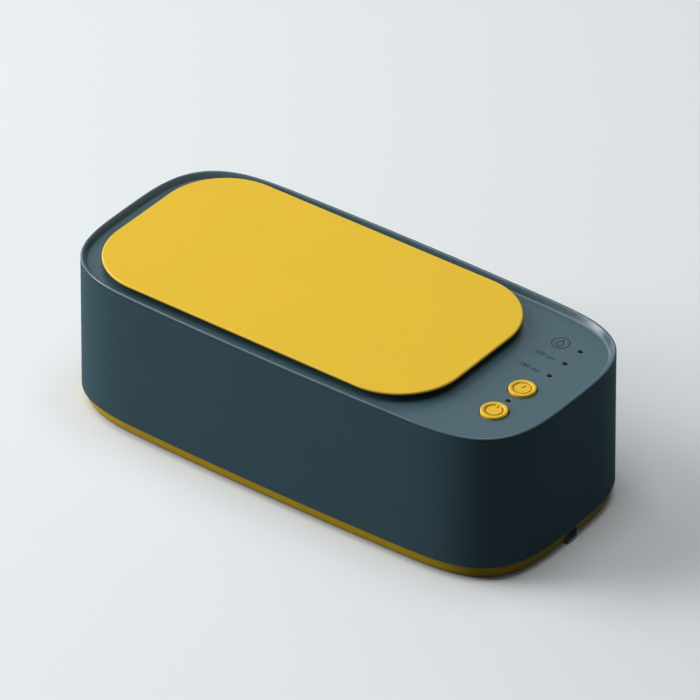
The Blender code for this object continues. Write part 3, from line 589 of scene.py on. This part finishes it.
# %% Case shell
case_shell = lofted("case_shell", case_outline, [
    (DRAFT, shell_bottom),
    *crest,
    *round_arc(foot_centre, RIM_FOOT, RIM_SLOPE - 90, foot_angle(-WALL), 4),
    (draft_at(ledge_top) - WALL, ledge_top),
    (ledge_inner, ledge_top),
    (ledge_inner, ledge_low),
    (draft_at(ledge_foot) - WALL, ledge_foot),
    (DRAFT - WALL, shell_bottom),
], ring=True)
round_edges(case_shell, SMALL_ROUND, 2, lambda point: point.z < shell_bottom + SEAM)
notch_low, notch_high = ledge_foot - GAP, deck_under - SEAM / 2
notches = [rod(x, y, POST_RADIUS + GAP, notch_low, notch_high) for x, y in post_axes]
combine(case_shell, "DIFFERENCE", notches)
finished(case_shell, "housing", "slate_plastic", "body_shell")

# %% [markdown]
# ## The deck
# The recessed panel fills the case to its walls, where its edge rises in the round foot of the rim
# and is easy to wipe. A collar rises round the tank's mouth to hold the lid.

# %% Deck panel
LID_OVERHANG = 5.0 * MM
LID_CORNER = 25.5 * MM
COLLAR_WALL = 2.0 * MM
COLLAR_ROUND = 0.45 * MM
MOUTH_ROUND = 0.25 * MM
lid_low, lid_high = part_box("lid")
lid_outline = Outline(
    (lid_low.x + lid_high.x) / 2, 0.0,
    lid_high.x - lid_low.x,
    lid_high.y - lid_low.y,
    LID_CORNER,
    2.0,
)
collar_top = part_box("top_deck")[1].z
deck_edge = -WALL - SEAM
mouth = LID_OVERHANG + COLLAR_WALL
deck_panel = lofted("deck_panel", case_outline, [
    (deck_edge, deck_under),
    *round_arc(foot_centre, RIM_FOOT, foot_angle(deck_edge), -90, 8),
])
deck_middle = deck_under + DECK_THICKNESS / 2
collar = lofted("collar", lid_outline, [
    (-LID_OVERHANG, deck_middle),
    (-LID_OVERHANG, collar_top),
])
mouth_tool = lofted("mouth_tool", lid_outline, [
    (-mouth, deck_under - GAP),
    (-mouth, collar_top + GAP),
])
combine(deck_panel, "UNION", [collar])
combine(deck_panel, "DIFFERENCE", [mouth_tool])


def at_mouth_foot(point):
    """True on the lower edge of the tank's mouth, and not on the panel's outer edge."""
    inside = abs(point.x) < lid_high.x and abs(point.y) < lid_high.y - LID_OVERHANG
    return inside and point.z < deck_under + SEAM


round_edges(deck_panel, COLLAR_ROUND, 3, lambda point: point.z > collar_top - SEAM)
round_edges(deck_panel, MOUTH_ROUND, 2, at_mouth_foot)
print("deck with collar and mouth")

# %% [markdown]
# Four long posts below take the base's screws, and two short ones carry the control board. The
# holes for the buttons and lights are cut with round tools that widen at the top, so each hole
# comes out with a small bevel already on it.

# %% Posts and holes of the deck
BOSS_RADIUS = 2.4 * MM
SCREW_HOLE, SCREW_BITE = 1.7 * MM, 9.0 * MM
BOARD_HOLE, BOARD_BITE = 1.3 * MM, 5.3 * MM
HOLE_BEVEL = 0.2 * MM
BUTTON_RADIUS = 5.0 * MM
LIGHT_RADIUS, LIGHT_GAP = 0.8 * MM, 0.1 * MM
post_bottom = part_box("top_deck")[0].z
board_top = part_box("control_board")[1].z
board_axes = [axis_of(f"control_board_screw_{number}") for number in (1, 2)]
posts = [rod(x, y, POST_RADIUS, post_bottom, deck_middle) for x, y in post_axes]
posts += [rod(x, y, BOSS_RADIUS, board_top + GAP, deck_middle) for x, y in board_axes]
combine(deck_panel, "UNION", posts)
bite_low, bite_high = post_bottom - GAP, post_bottom + SCREW_BITE + GAP
screw_holes = [rod(x, y, SCREW_HOLE, bite_low, bite_high) for x, y in post_axes]
screw_holes += [rod(x, y, BOARD_HOLE, board_top, board_top + BOARD_BITE) for x, y in board_axes]
combine(deck_panel, "DIFFERENCE", screw_holes)


def hole_tool(node, radius):
    """A round tool that goes through the deck and widens at its top face."""
    return lofted("hole_tool", disc(*axis_of(node), radius), [
        (0.0, deck_under - GAP),
        (0.0, deck_top - HOLE_BEVEL),
        (2 * HOLE_BEVEL, deck_top + HOLE_BEVEL),
    ])


lights = ["light_guide_power", "light_guide_1", "light_guide_2", "light_guide_3"]
tools = [hole_tool(node, BUTTON_RADIUS + GAP) for node in ("power_button", "timer_button")]
tools += [hole_tool(node, LIGHT_RADIUS + LIGHT_GAP) for node in lights]
combine(deck_panel, "DIFFERENCE", tools)
finished(deck_panel, "housing", "slate_plastic", "top_deck")

# %% [markdown]
# ## The lid
# A plain yellow plate that overhangs its collar, with a full round for an edge and a locating skirt
# below. The skirt goes just inside the collar. The whole lid is one run of loops from the middle of
# the underside to the top.

# %% Lid and its seal
LID_THICKNESS = 1.2 * MM
SKIRT_CLEARANCE = 0.5 * MM
SKIRT_WALL = 1.6 * MM
SKIRT_ROUND = 0.4 * MM
SEAL_THICKNESS = 0.9 * MM
lid_half = LID_THICKNESS / 2
lid_under = lid_high.z - LID_THICKNESS
skirt_outer = -(mouth + SKIRT_CLEARANCE)
skirt_inner = skirt_outer - SKIRT_WALL
lid_plate = lofted("lid_plate", lid_outline, [
    (skirt_inner, lid_under),
    (skirt_inner, lid_low.z),
    (skirt_outer, lid_low.z),
    (skirt_outer, lid_under),
    *round_arc((-lid_half, lid_under + lid_half), lid_half, -90, 90, 12),
])
round_edges(lid_plate, SKIRT_ROUND, 3, lambda point: point.z < lid_low.z + SEAM)
finished(lid_plate, "lid", "yellow_plastic", "lid")

seal_low, seal_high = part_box("lid_seal")
seal_outer, seal_inner = -(LID_OVERHANG + GAP), skirt_outer + GAP
seal_middle = ((seal_outer + seal_inner) / 2, (seal_low.z + seal_high.z) / 2)
seal_half = Vector(((seal_outer - seal_inner) / 2, SEAL_THICKNESS / 2))
lid_ring = lofted("lid_ring", lid_outline, arc(seal_middle, seal_half, 0, 330, 11), ring=True)
finished(lid_ring, "lid", "silicone", "lid_seal", smooth=60)

# %% [markdown]
# ## The tank
# A deep-drawn pan of stainless steel: straight walls, a wide round to the floor and a flat flange
# that is sealed to the deck from below. It shows when the lid is lifted.

# %% Tank and its gasket
TANK_STEP = 1.0 * MM
TANK_WALL = 0.8 * MM
FLOOR_ROUND = 6.0 * MM
FLANGE_ROUND = 1.0 * MM
FLANGE_EASE = (0.2 * MM, 0.3 * MM)
GASKET_WIDTH = 2.5 * MM
tank_low, tank_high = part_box("tank")
flange_top, tank_floor = tank_high.z, tank_low.z + TANK_WALL
flange_edge = (tank_high.y - tank_low.y - lid_outline.width) / 2
flange_low = flange_top - TANK_WALL
wall_inner = TANK_STEP - mouth
wall_outer = wall_inner + TANK_WALL
corner = (wall_inner - FLOOR_ROUND, tank_floor + FLOOR_ROUND)
flange_corner = (wall_inner + FLANGE_ROUND, flange_top - FLANGE_ROUND)
tank_pan = lofted("tank_pan", lid_outline, [
    *round_arc(corner, FLOOR_ROUND, -90, 0, 8),
    *round_arc(flange_corner, FLANGE_ROUND, 180, 90, 4),
    (flange_edge, flange_top),
    (flange_edge, flange_low),
    (wall_outer + FLANGE_EASE[0], flange_low),
    (wall_outer, flange_low - FLANGE_EASE[1]),
    *round_arc(corner, FLOOR_ROUND + TANK_WALL, 0, -90, 8),
])
finished(tank_pan, "housing", "stainless_steel", "tank")

gasket_low, gasket_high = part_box("tank_gasket")
tank_ring = lofted("tank_ring", lid_outline, [
    (flange_edge, gasket_low.z),
    (flange_edge, gasket_high.z),
    (flange_edge - GASKET_WIDTH, gasket_high.z),
    (flange_edge - GASKET_WIDTH, gasket_low.z),
], ring=True)
round_edges(tank_ring, SMALL_ROUND, 2, lambda point: True)
finished(tank_ring, "housing", "silicone", "tank_gasket")

# %% [markdown]
# ## The base
# The yellow tray curves in towards the table, so only a thin band of it shows below the case.
# Inside stand bosses for the four long screws and for the driver board.

# %% Base tray
BASE_FLOOR = 2.0 * MM
BASE_STEP = 1.2 * MM
BASE_TUCK = 1.9 * MM
LIP_HEIGHT = 3.0 * MM
LIP_WALL = 1.4 * MM
WELL_DEPTH, WELL_RADIUS, WELL_WALL = 2.7 * MM, 3.0 * MM, 0.9 * MM
STANDOFF_RADIUS = 2.6 * MM
NEAR = 0.01 * MM
base_low, base_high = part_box("base_cover")
base_bottom, boss_top = base_low.z, base_high.z
base_top = shell_bottom - SEAM
lip_top = shell_bottom - GAP + LIP_HEIGHT
floor_top = base_bottom + BASE_FLOOR
band = DRAFT - BASE_STEP
lip_outer = DRAFT - WALL - GAP
tuck = (BASE_TUCK, base_top - base_bottom)
base_tray = lofted("base_tray", case_outline, [
    *arc((band - BASE_TUCK, base_top), tuck, -90, 0, 12),
    (lip_outer, base_top),
    (lip_outer, lip_top),
    (lip_outer - LIP_WALL, lip_top),
    (lip_outer - LIP_WALL, floor_top),
])
round_edges(base_tray, SMALL_ROUND, 2, lambda point: abs(point.z - base_top) < NEAR)
floor_middle = base_bottom + BASE_FLOOR / 2
standoff_axes = [axis_of(f"driver_board_screw_{number}") for number in (1, 2, 3, 4)]
standoff_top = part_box("driver_board")[0].z - GAP
bosses = [rod(x, y, WELL_RADIUS + WELL_WALL, floor_middle, boss_top) for x, y in post_axes]
bosses += [rod(x, y, STANDOFF_RADIUS, floor_middle, standoff_top) for x, y in standoff_axes]
combine(base_tray, "UNION", bosses)
print("tray with", len(post_axes) + len(standoff_axes), "bosses")

# %% [markdown]
# The underside has deep round wells for the screws, shallow pockets for the feet and a notch for
# the power inlet.

# %% Wells, pockets and notch of the base
FOOT_POCKET = 1.0 * MM
NOTCH_MIDDLE, NOTCH_HEIGHT = 2 * MM, 9 * MM
well_profile = [
    (HOLE_BEVEL, base_bottom - HOLE_BEVEL),
    (0.0, base_bottom + HOLE_BEVEL),
    (0.0, base_bottom + WELL_DEPTH),
]
pocket_profile = [(GAP, base_bottom - GAP), (GAP, base_bottom + FOOT_POCKET)]
wells = []
for x, y in post_axes:
    wells.append(lofted("well", disc(x, y, WELL_RADIUS), well_profile))
    wells.append(rod(x, y, SCREW_HOLE, floor_middle, boss_top + GAP))
feet = [f"foot_{number}" for number in (1, 2, 3, 4)]
for foot in feet:
    wells.append(lofted("pocket", round_outline(foot), pocket_profile))
combine(base_tray, "DIFFERENCE", wells)
jack_low, jack_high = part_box("dc_jack")
notch_near, notch_far = jack_low.x - GAP, shell_high.x + BASE_TUCK
bpy.ops.object.select_all(action="DESELECT")
bpy.ops.mesh.primitive_cube_add(
    size=1.0, location=((notch_near + notch_far) / 2, 0.0, NOTCH_MIDDLE)
)
notch = bpy.context.object
notch.scale = (notch_far - notch_near, jack_high.y - jack_low.y + 2 * GAP, NOTCH_HEIGHT)
bpy.ops.object.transform_apply(location=True, scale=True)
combine(base_tray, "DIFFERENCE", [notch])
finished(base_tray, "housing", "yellow_plastic", "base_cover")

# %% [markdown]
# ## Feet and screws
# Small rubber pads sit in the pockets, with a shallow dimple and a rounded edge where they meet the
# table.

# %% Feet
DIMPLE_FLOOR, DIMPLE_EDGE = -2.6 * MM, -1.9 * MM
DIMPLE_DEPTH = 0.15 * MM
PAD_ROUND = 0.4 * MM
PAD_EDGE = 3.5 * MM


def at_pad_edge(point):
    """True on the outer lower edge of a foot, and not on its dimple."""
    return point.z < low.z + SEAM and math.dist(point[:2], axis_of(node)) > PAD_EDGE


for number, node in enumerate(feet, 1):
    low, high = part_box(node)
    pad = lofted(f"foot_pad_{number}", round_outline(node), [
        (DIMPLE_FLOOR, low.z + DIMPLE_DEPTH),
        (DIMPLE_EDGE, low.z),
        (0.0, low.z),
        (0.0, high.z),
    ])
    round_edges(pad, PAD_ROUND, 4, at_pad_edge)
    finished(pad, "housing", "rubber", node)

# %% [markdown]
# The screws have a low head with a cross recess, cut by two slim bars. Each one is turned a little
# further than the one before, as screws end up when they are tight.

# %% Base screws
SHANK_RADIUS = 1.4 * MM
TIP_LENGTH, TIP_TAPER = 1.0 * MM, 0.7 * MM
HEAD_ROUND = 0.5 * MM
TURN_STEP = 0.4
RECESS_LENGTH = 3.2 * MM
RECESS_WIDTH = 0.8 * MM
RECESS_DEPTH = 1.1 * MM
for number in (1, 2, 3, 4):
    node = f"base_screw_{number}"
    low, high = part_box(node)
    x, y = axis_of(node)
    shank = SHANK_RADIUS - (high.y - low.y) / 2
    head_top = base_bottom + WELL_DEPTH - GAP
    screw = lofted(f"long_screw_{number}", round_outline(node), [
        (0.0, low.z),
        (0.0, head_top),
        (shank, head_top),
        (shank, high.z - TIP_LENGTH),
        (shank - TIP_TAPER, high.z),
    ])
    round_edges(screw, HEAD_ROUND, 4, lambda point: point.z < low.z + SEAM)
    bars = []
    for turn in (0.0, math.pi / 2):
        turned = (0.0, 0.0, turn + TURN_STEP * number)
        bpy.ops.object.select_all(action="DESELECT")
        bpy.ops.mesh.primitive_cube_add(size=1.0, location=(x, y, low.z), rotation=turned)
        bar = bpy.context.object
        bar.scale = (RECESS_LENGTH, RECESS_WIDTH, 2 * RECESS_DEPTH)
        bpy.ops.object.transform_apply(location=True, rotation=True, scale=True)
        bars.append(bar)
    combine(screw, "DIFFERENCE", bars)
    finished(screw, "housing", "zinc_steel", node)

# %% [markdown]
# ## Buttons
# Each button carries a common sign: a broken ring with a bar for power, and a clock face with a
# hand for the timer. The signs are cut with thin round bars, so that a groove has a round bottom.

# %% Bars that cut a groove
def as_bar(path, thickness):
    """Turns a mesh of edges into a solid round bar that follows them."""
    use(path)
    bpy.ops.object.convert(target="CURVE")
    bar = bpy.context.object
    bar.data.bevel_depth = thickness
    bar.data.bevel_resolution = 2
    bar.data.use_fill_caps = True
    bpy.ops.object.convert(target="MESH")
    bpy.ops.object.transform_apply(location=True, rotation=True, scale=True)
    return bpy.context.object


def groove_ring(place, radius, gap_degrees, thickness):
    """A thin round bar bent into a ring, open at +Y by the gap."""
    bpy.ops.object.select_all(action="DESELECT")
    bpy.ops.mesh.primitive_circle_add(vertices=72, radius=radius, location=place)
    ring = bpy.context.object
    bpy.ops.object.mode_set(mode="EDIT")
    bpy.ops.mesh.select_all(action="DESELECT")
    mesh = bmesh.from_edit_mesh(ring.data)
    for point in mesh.verts:
        from_top = abs(math.degrees(math.atan2(point.co.x, point.co.y)))
        point.select_set(from_top < gap_degrees / 2)
    bmesh.update_edit_mesh(ring.data)
    if gap_degrees:
        bpy.ops.mesh.delete(type="VERT")
    bpy.ops.object.mode_set(mode="OBJECT")
    return as_bar(ring, thickness)


def groove_hand(place, length, degrees, thickness):
    """A straight round bar that starts at a place, with its angle counted from +Y towards +X."""
    bpy.ops.object.select_all(action="DESELECT")
    turn = math.radians(degrees)
    middle = place + Vector((math.sin(turn), math.cos(turn), 0.0)) * length / 2
    bpy.ops.mesh.primitive_cylinder_add(
        vertices=12,
        radius=thickness,
        depth=length,
        location=middle,
        rotation=(math.pi / 2, 0.0, -turn),
    )
    bpy.ops.object.transform_apply(location=True, rotation=True)
    return bpy.context.object


print("groove tools: ring, hand")

# %% [markdown]
# A cap has a soft raised ring round a shallow dish that the fingertip finds by touch. The faces of
# its groove are painted a darker amber, which is painted shade, so that the sign reads in flat
# light.

# %% Button caps
RING_WIDTH = 1.45 * MM
RING_CREST = 0.65 * MM
RING_FALL = 0.5 * MM
DISH_DEPTH = 0.35 * MM
WIDE_GROOVE, THIN_GROOVE = 0.34 * MM, 0.26 * MM
POWER_RING, POWER_OPENING = 3.1 * MM, 50
BAR_START, BAR_LENGTH = 1.7 * MM, 1.6 * MM
TIMER_RING, HAND_LENGTH = 3.2 * MM, 2.0 * MM
STEM_RADIUS = 1.5 * MM
FLANGE_WIDTH, FLANGE_THICKNESS = 1.0 * MM, 0.9 * MM


def power_sign(centre):
    """A broken ring with a bar in its opening."""
    bar_start = centre + Vector((0.0, BAR_START, 0.0))
    ring = groove_ring(centre, POWER_RING, POWER_OPENING, WIDE_GROOVE)
    return [ring, groove_hand(bar_start, BAR_LENGTH, 0, THIN_GROOVE)]


def timer_sign(centre):
    """A clock face with one hand."""
    ring = groove_ring(centre, TIMER_RING, 0, THIN_GROOVE)
    return [ring, groove_hand(centre, HAND_LENGTH, 0, THIN_GROOVE)]


def button_cap(name, node, body, sign):
    """A round cap on a stem, with a flange under the deck and its sign in the dish."""
    low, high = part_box(node)
    x, y = axis_of(node)
    stem = STEM_RADIUS - BUTTON_RADIUS
    flange_top = deck_under - GAP
    flange_low = flange_top - FLANGE_THICKNESS
    dish_floor = high.z - DISH_DEPTH
    ring_inner = (RING_WIDTH - RING_CREST, DISH_DEPTH)
    cap = lofted(name, disc(x, y, BUTTON_RADIUS), [
        (stem, low.z),
        (stem, flange_low),
        (FLANGE_WIDTH, flange_low),
        (FLANGE_WIDTH, flange_top),
        (0.0, flange_top),
        *arc((-RING_CREST, high.z - RING_FALL), (RING_CREST, RING_FALL), 0, 90, 6),
        *arc((-RING_CREST, dish_floor), ring_inner, 90, 180, 6)[1:],
    ])
    combine(cap, "DIFFERENCE", sign(Vector((x, y, dish_floor))))
    finished(cap, body, "yellow_plastic", node)
    # The groove faces take the darker amber of painted shade.
    cap.data.materials.append(groove_shade_finish)
    in_groove = 0
    for face in cap.data.polygons:
        if deck_top - GAP < face.center.z < dish_floor - MERGE:
            if math.dist(face.center[:2], (x, y)) < BUTTON_RADIUS - RING_CREST:
                face.material_index = 1
                in_groove += 1
    print(name, "has", in_groove, "faces in its groove")


button_cap("power_cap", "power_button", "power_button", power_sign)
button_cap("timer_cap", "timer_button", "timer_button", timer_sign)

# %% [markdown]
# ## Indicator lights
# Dark smoked windows, each the end of a light guide that stands over its lamp. They are etched, so
# that a lit lamp shows as an even dot, and unlit they read as plain black.

# %% Light windows
GUIDE_FLANGE, GUIDE_THICKNESS = 0.7 * MM, 0.8 * MM
guide_high = deck_under - GAP
guide_low = guide_high - GUIDE_THICKNESS
for node in lights:
    low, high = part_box(node)
    guide = disc(*axis_of(node), LIGHT_RADIUS)
    window = lofted(node.replace("light_guide", "light_window"), guide, [
        (0.0, low.z),
        (0.0, guide_low),
        (GUIDE_FLANGE, guide_low),
        (GUIDE_FLANGE, guide_high),
        (0.0, guide_high),
        (0.0, high.z),
    ])
    round_edges(window, SMALL_ROUND, 3, lambda point: point.z > high.z - SEAM)
    finished(window, "housing", "smoked_acrylic", node)

# %% [markdown]
# ## Power inlet
# A thin bright frame stands in the base's notch at the control end, and the black body of the
# socket sits behind it. The frame is a block whose two ends are inset, emptied and bridged, as one
# would by hand.

# %% Inlet frame and socket
FRAME_WALL, FRAME_ROUND = 0.4 * MM, 0.12 * MM
BORE_RADIUS, BORE_DEPTH = 1.75 * MM, 8.0 * MM
SOCKET_ROUND = 0.3 * MM


def block(name, low, high):
    """A plain box between two corners."""
    bpy.ops.object.select_all(action="DESELECT")
    bpy.ops.mesh.primitive_cube_add(size=1.0, location=(low + high) / 2)
    piece = bpy.context.object
    piece.name = piece.data.name = name
    piece.scale = high - low
    bpy.ops.object.transform_apply(location=True, scale=True)
    return piece


inlet_frame = block("inlet_frame", *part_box("jack_bezel"))
bpy.ops.object.mode_set(mode="EDIT")
bpy.ops.mesh.select_mode(type="FACE")
bpy.ops.mesh.select_all(action="DESELECT")
mesh = bmesh.from_edit_mesh(inlet_frame.data)
for face in mesh.faces:
    face.select_set(abs(face.normal.x) > 0.9)
bmesh.update_edit_mesh(inlet_frame.data)
bpy.ops.mesh.inset(thickness=FRAME_WALL, use_individual=True)
bpy.ops.mesh.delete(type="FACE")
bpy.ops.mesh.select_mode(type="EDGE")
bpy.ops.mesh.select_non_manifold()
bpy.ops.mesh.bridge_edge_loops()
bpy.ops.mesh.select_all(action="SELECT")
bpy.ops.mesh.normals_make_consistent(inside=False)
bpy.ops.mesh.select_mode(type="VERT")
bpy.ops.object.mode_set(mode="OBJECT")
round_edges(inlet_frame, FRAME_ROUND, 2, lambda point: True)
finished(inlet_frame, "housing", "zinc_steel", "jack_bezel")

socket_body = block("socket_body", jack_low, jack_high)
round_edges(socket_body, SOCKET_ROUND, 3, lambda point: True)
bore_z = (jack_low.z + jack_high.z) / 2
bpy.ops.object.select_all(action="DESELECT")
bpy.ops.mesh.primitive_cylinder_add(
    vertices=32,
    radius=BORE_RADIUS,
    depth=2 * BORE_DEPTH,
    location=(jack_high.x, 0.0, bore_z),
    rotation=(0.0, math.pi / 2, 0.0),
)
bpy.ops.object.transform_apply(location=True, rotation=True)
combine(socket_body, "DIFFERENCE", [bpy.context.object])
finished(socket_body, "housing", "black_plastic", "dc_jack")

# %% [markdown]
# ## Printed marks
# Beside the three lights stand small marks in darker ink: a ring with a water drop for normal
# cleaning, and two plain times in seconds. Print lies on the surface, so each mark is a film two
# hundredths of a millimetre proud.

# %% Marks on the deck
INK = 0.02 * MM
MARK_X = -8.6 * MM
TEXT_SIZE = 2.9 * MM
TEXT_WEIGHT = 0.03 * MM
RING_RADIUS = 3.5 * MM
DROP_RADIUS, DROP_TAPER = 2.1 * MM, 1.2
LINE = 0.45 * MM


def as_print(mark):
    """Gives a flat mark its film of ink and fixes it to the housing."""
    use(mark)
    bpy.ops.object.modifier_add(type="SOLIDIFY")
    mark.modifiers[-1].thickness = 2 * INK
    mark.modifiers[-1].offset = 0.0
    bpy.ops.object.modifier_apply(modifier=mark.modifiers[-1].name)
    mark.data.materials.clear()
    mark.data.materials.append(ink_finish)
    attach(mark, "housing")
    print(mark.name, len(mark.data.polygons), "faces")


def line_mark(name, x, y, radius, drop):
    """A closed line: a ring, or a drop whose sides draw together towards +Y."""
    bpy.ops.object.select_all(action="DESELECT")
    bpy.ops.mesh.primitive_circle_add(vertices=64, radius=radius, fill_type="NGON")
    mark = bpy.context.object
    mark.name = mark.data.name = name
    bpy.ops.object.mode_set(mode="EDIT")
    mesh = bmesh.from_edit_mesh(mark.data)
    for point in mesh.verts:
        from_foot = math.atan2(point.co.x, -point.co.y)
        if drop:
            taper = math.cos(from_foot / 2) ** DROP_TAPER
            point.co.x = radius * math.sin(from_foot) * taper
    bmesh.update_edit_mesh(mark.data)
    bpy.ops.mesh.select_all(action="SELECT")
    bpy.ops.mesh.inset(thickness=LINE)
    bpy.ops.mesh.delete(type="FACE")
    bpy.ops.object.mode_set(mode="OBJECT")
    mark.location = (x, y, deck_top)
    bpy.ops.object.transform_apply(location=True)
    as_print(mark)


def number_mark(name, words, x, y):
    """A few words of print, centred on a place."""
    bpy.ops.object.select_all(action="DESELECT")
    bpy.ops.object.text_add()
    mark = bpy.context.object
    mark.name = name
    mark.data.body = words
    mark.data.size = TEXT_SIZE
    mark.data.align_x = "CENTER"
    mark.data.align_y = "CENTER"
    mark.data.offset = TEXT_WEIGHT
    bpy.ops.object.convert(target="MESH")
    mark = bpy.context.object
    mark.location = (x, y, deck_top)
    bpy.ops.object.transform_apply(location=True)
    as_print(mark)


first_x, first_y = axis_of("light_guide_1")
second_x, second_y = axis_of("light_guide_2")
third_x, third_y = axis_of("light_guide_3")
line_mark("mark_ring", third_x + MARK_X, third_y, RING_RADIUS, drop=False)
line_mark("mark_drop", third_x + MARK_X, third_y, DROP_RADIUS, drop=True)
number_mark("mark_time_1", "180 sec", first_x + MARK_X, first_y)
number_mark("mark_time_2", "300 sec", second_x + MARK_X, second_y)

# %% [markdown]
# ## Pieces that keep their solid
# Boards, switches, leads and fastenings inside already have their true shape, so they only need
# their finish. The record names the slot of every node.

# %% Finishes for the inner nodes
for row in frame["record"]["subparts"]:
    node = frame["nodes"][row["node"]]
    node.data.materials.clear()
    node.data.materials.append(finishes[row["material_slot"]])

# %% [markdown]
# ## Floor, light and background
# The floor is pale for the camera, but it throws little light back on the sides, which keeps their
# shading calm. The sky is dim, but it is bright in reflections down to the horizon, which gives the
# flat tops their thin sheen.

# %% Floor and world
FLOOR_SIZE = 12.0
FLOOR_ROUGHNESS, FLOOR_SPECULAR = 0.85, 0.1
FLOOR_SEEN = (0.74, 0.765, 0.775, 1.0)
FLOOR_MIRRORED = (0.085, 0.12, 0.14, 1.0)
FLOOR_THROWN = (0.05, 0.053, 0.055, 1.0)
SKY_THROWN = 0.085
SKY_SEEN = 0.85
SKY_COLOUR = (0.84, 0.95, 1.0, 1.0)
HORIZON_LOW, HORIZON_HIGH = -0.05, 0.20


def is_ray(wire, *kinds):
    """1 for rays of these kinds, and 0 for all others."""
    rays = [wire.node("LightPath", output=f"Is {kind} Ray") for kind in kinds]
    return wire.maths("MINIMUM", sum(rays[1:], rays[0]), 1.0)


bpy.ops.object.select_all(action="DESELECT")
bpy.ops.mesh.primitive_plane_add(size=FLOOR_SIZE, location=(0.0, 0.0, 0.0))
floor = bpy.context.object
floor.name = "floor"
floor_material, floor_shader, floor_place = begin(
    "floor", Roughness=FLOOR_ROUGHNESS, Specular_IOR_Level=FLOOR_SPECULAR
)
unseen = blend(is_ray(floor_place, "Glossy"), FLOOR_THROWN, FLOOR_MIRRORED)
seen = is_ray(floor_place, "Camera", "Transmission")
floor_place.feed(floor_shader.inputs["Base Color"], blend(seen, unseen, FLOOR_SEEN))
floor.data.materials.append(floor_material)

world = bpy.data.worlds.new("studio")
bpy.context.scene.world = world
world.use_nodes = True
sky = Wire(world.node_tree)
background = world.node_tree.nodes["Background"]
background.inputs["Color"].default_value = SKY_COLOUR
direction = sky.node("TexCoord", output="Generated")
height = sky.node("SeparateXYZ", None, {0: direction}, output="Z")
sockets = {"Value": height, "From Min": HORIZON_LOW, "From Max": HORIZON_HIGH}
upper = sky.node("MapRange", None, sockets)
sky_seen = is_ray(sky, "Camera", "Glossy", "Transmission") * upper
sky.feed(background.inputs["Strength"], SKY_THROWN + (SKY_SEEN - SKY_THROWN) * sky_seen)
print("floor and world ready")

# %% [markdown]
# Four large soft lamps do the work: one overhead, which keeps shadows short, one high on the left,
# which shades the long wall into the dark corner, and two low ones beside it that put the gleam on
# the rounded edges.

# %% Lamps
MIDDLE = Vector((0.0, 0.0, rim_top / 2))


def soft_lamp(name, place, size, power):
    """A square area lamp that faces the middle of the case."""
    bpy.ops.object.select_all(action="DESELECT")
    bpy.ops.object.light_add(type="AREA", location=place)
    lamp = bpy.context.object
    lamp.name = name
    lamp.data.size = size
    lamp.data.energy = power
    lamp.rotation_euler = (Vector(place) - MIDDLE).to_track_quat("Z", "Y").to_euler()


soft_lamp("overhead_lamp", (0.05, 0.05, 2.00), 1.2, 18.0)
soft_lamp("edge_lamp", (-1.30, -0.70, 1.36), 1.2, 22.0)
soft_lamp("low_lamp", (-1.64, -1.00, 0.58), 0.7, 18.0)
soft_lamp("side_lamp", (-1.92, 0.24, 0.45), 1.4, 17.0)
bpy.context.scene.view_settings.view_transform = "Standard"
print("four lamps")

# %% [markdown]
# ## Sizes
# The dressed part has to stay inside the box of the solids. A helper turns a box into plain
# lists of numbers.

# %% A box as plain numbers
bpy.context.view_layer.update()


def plain(box):
    """A box as lists of numbers that can be written down."""
    return [[float(part) for part in point] for point in box]
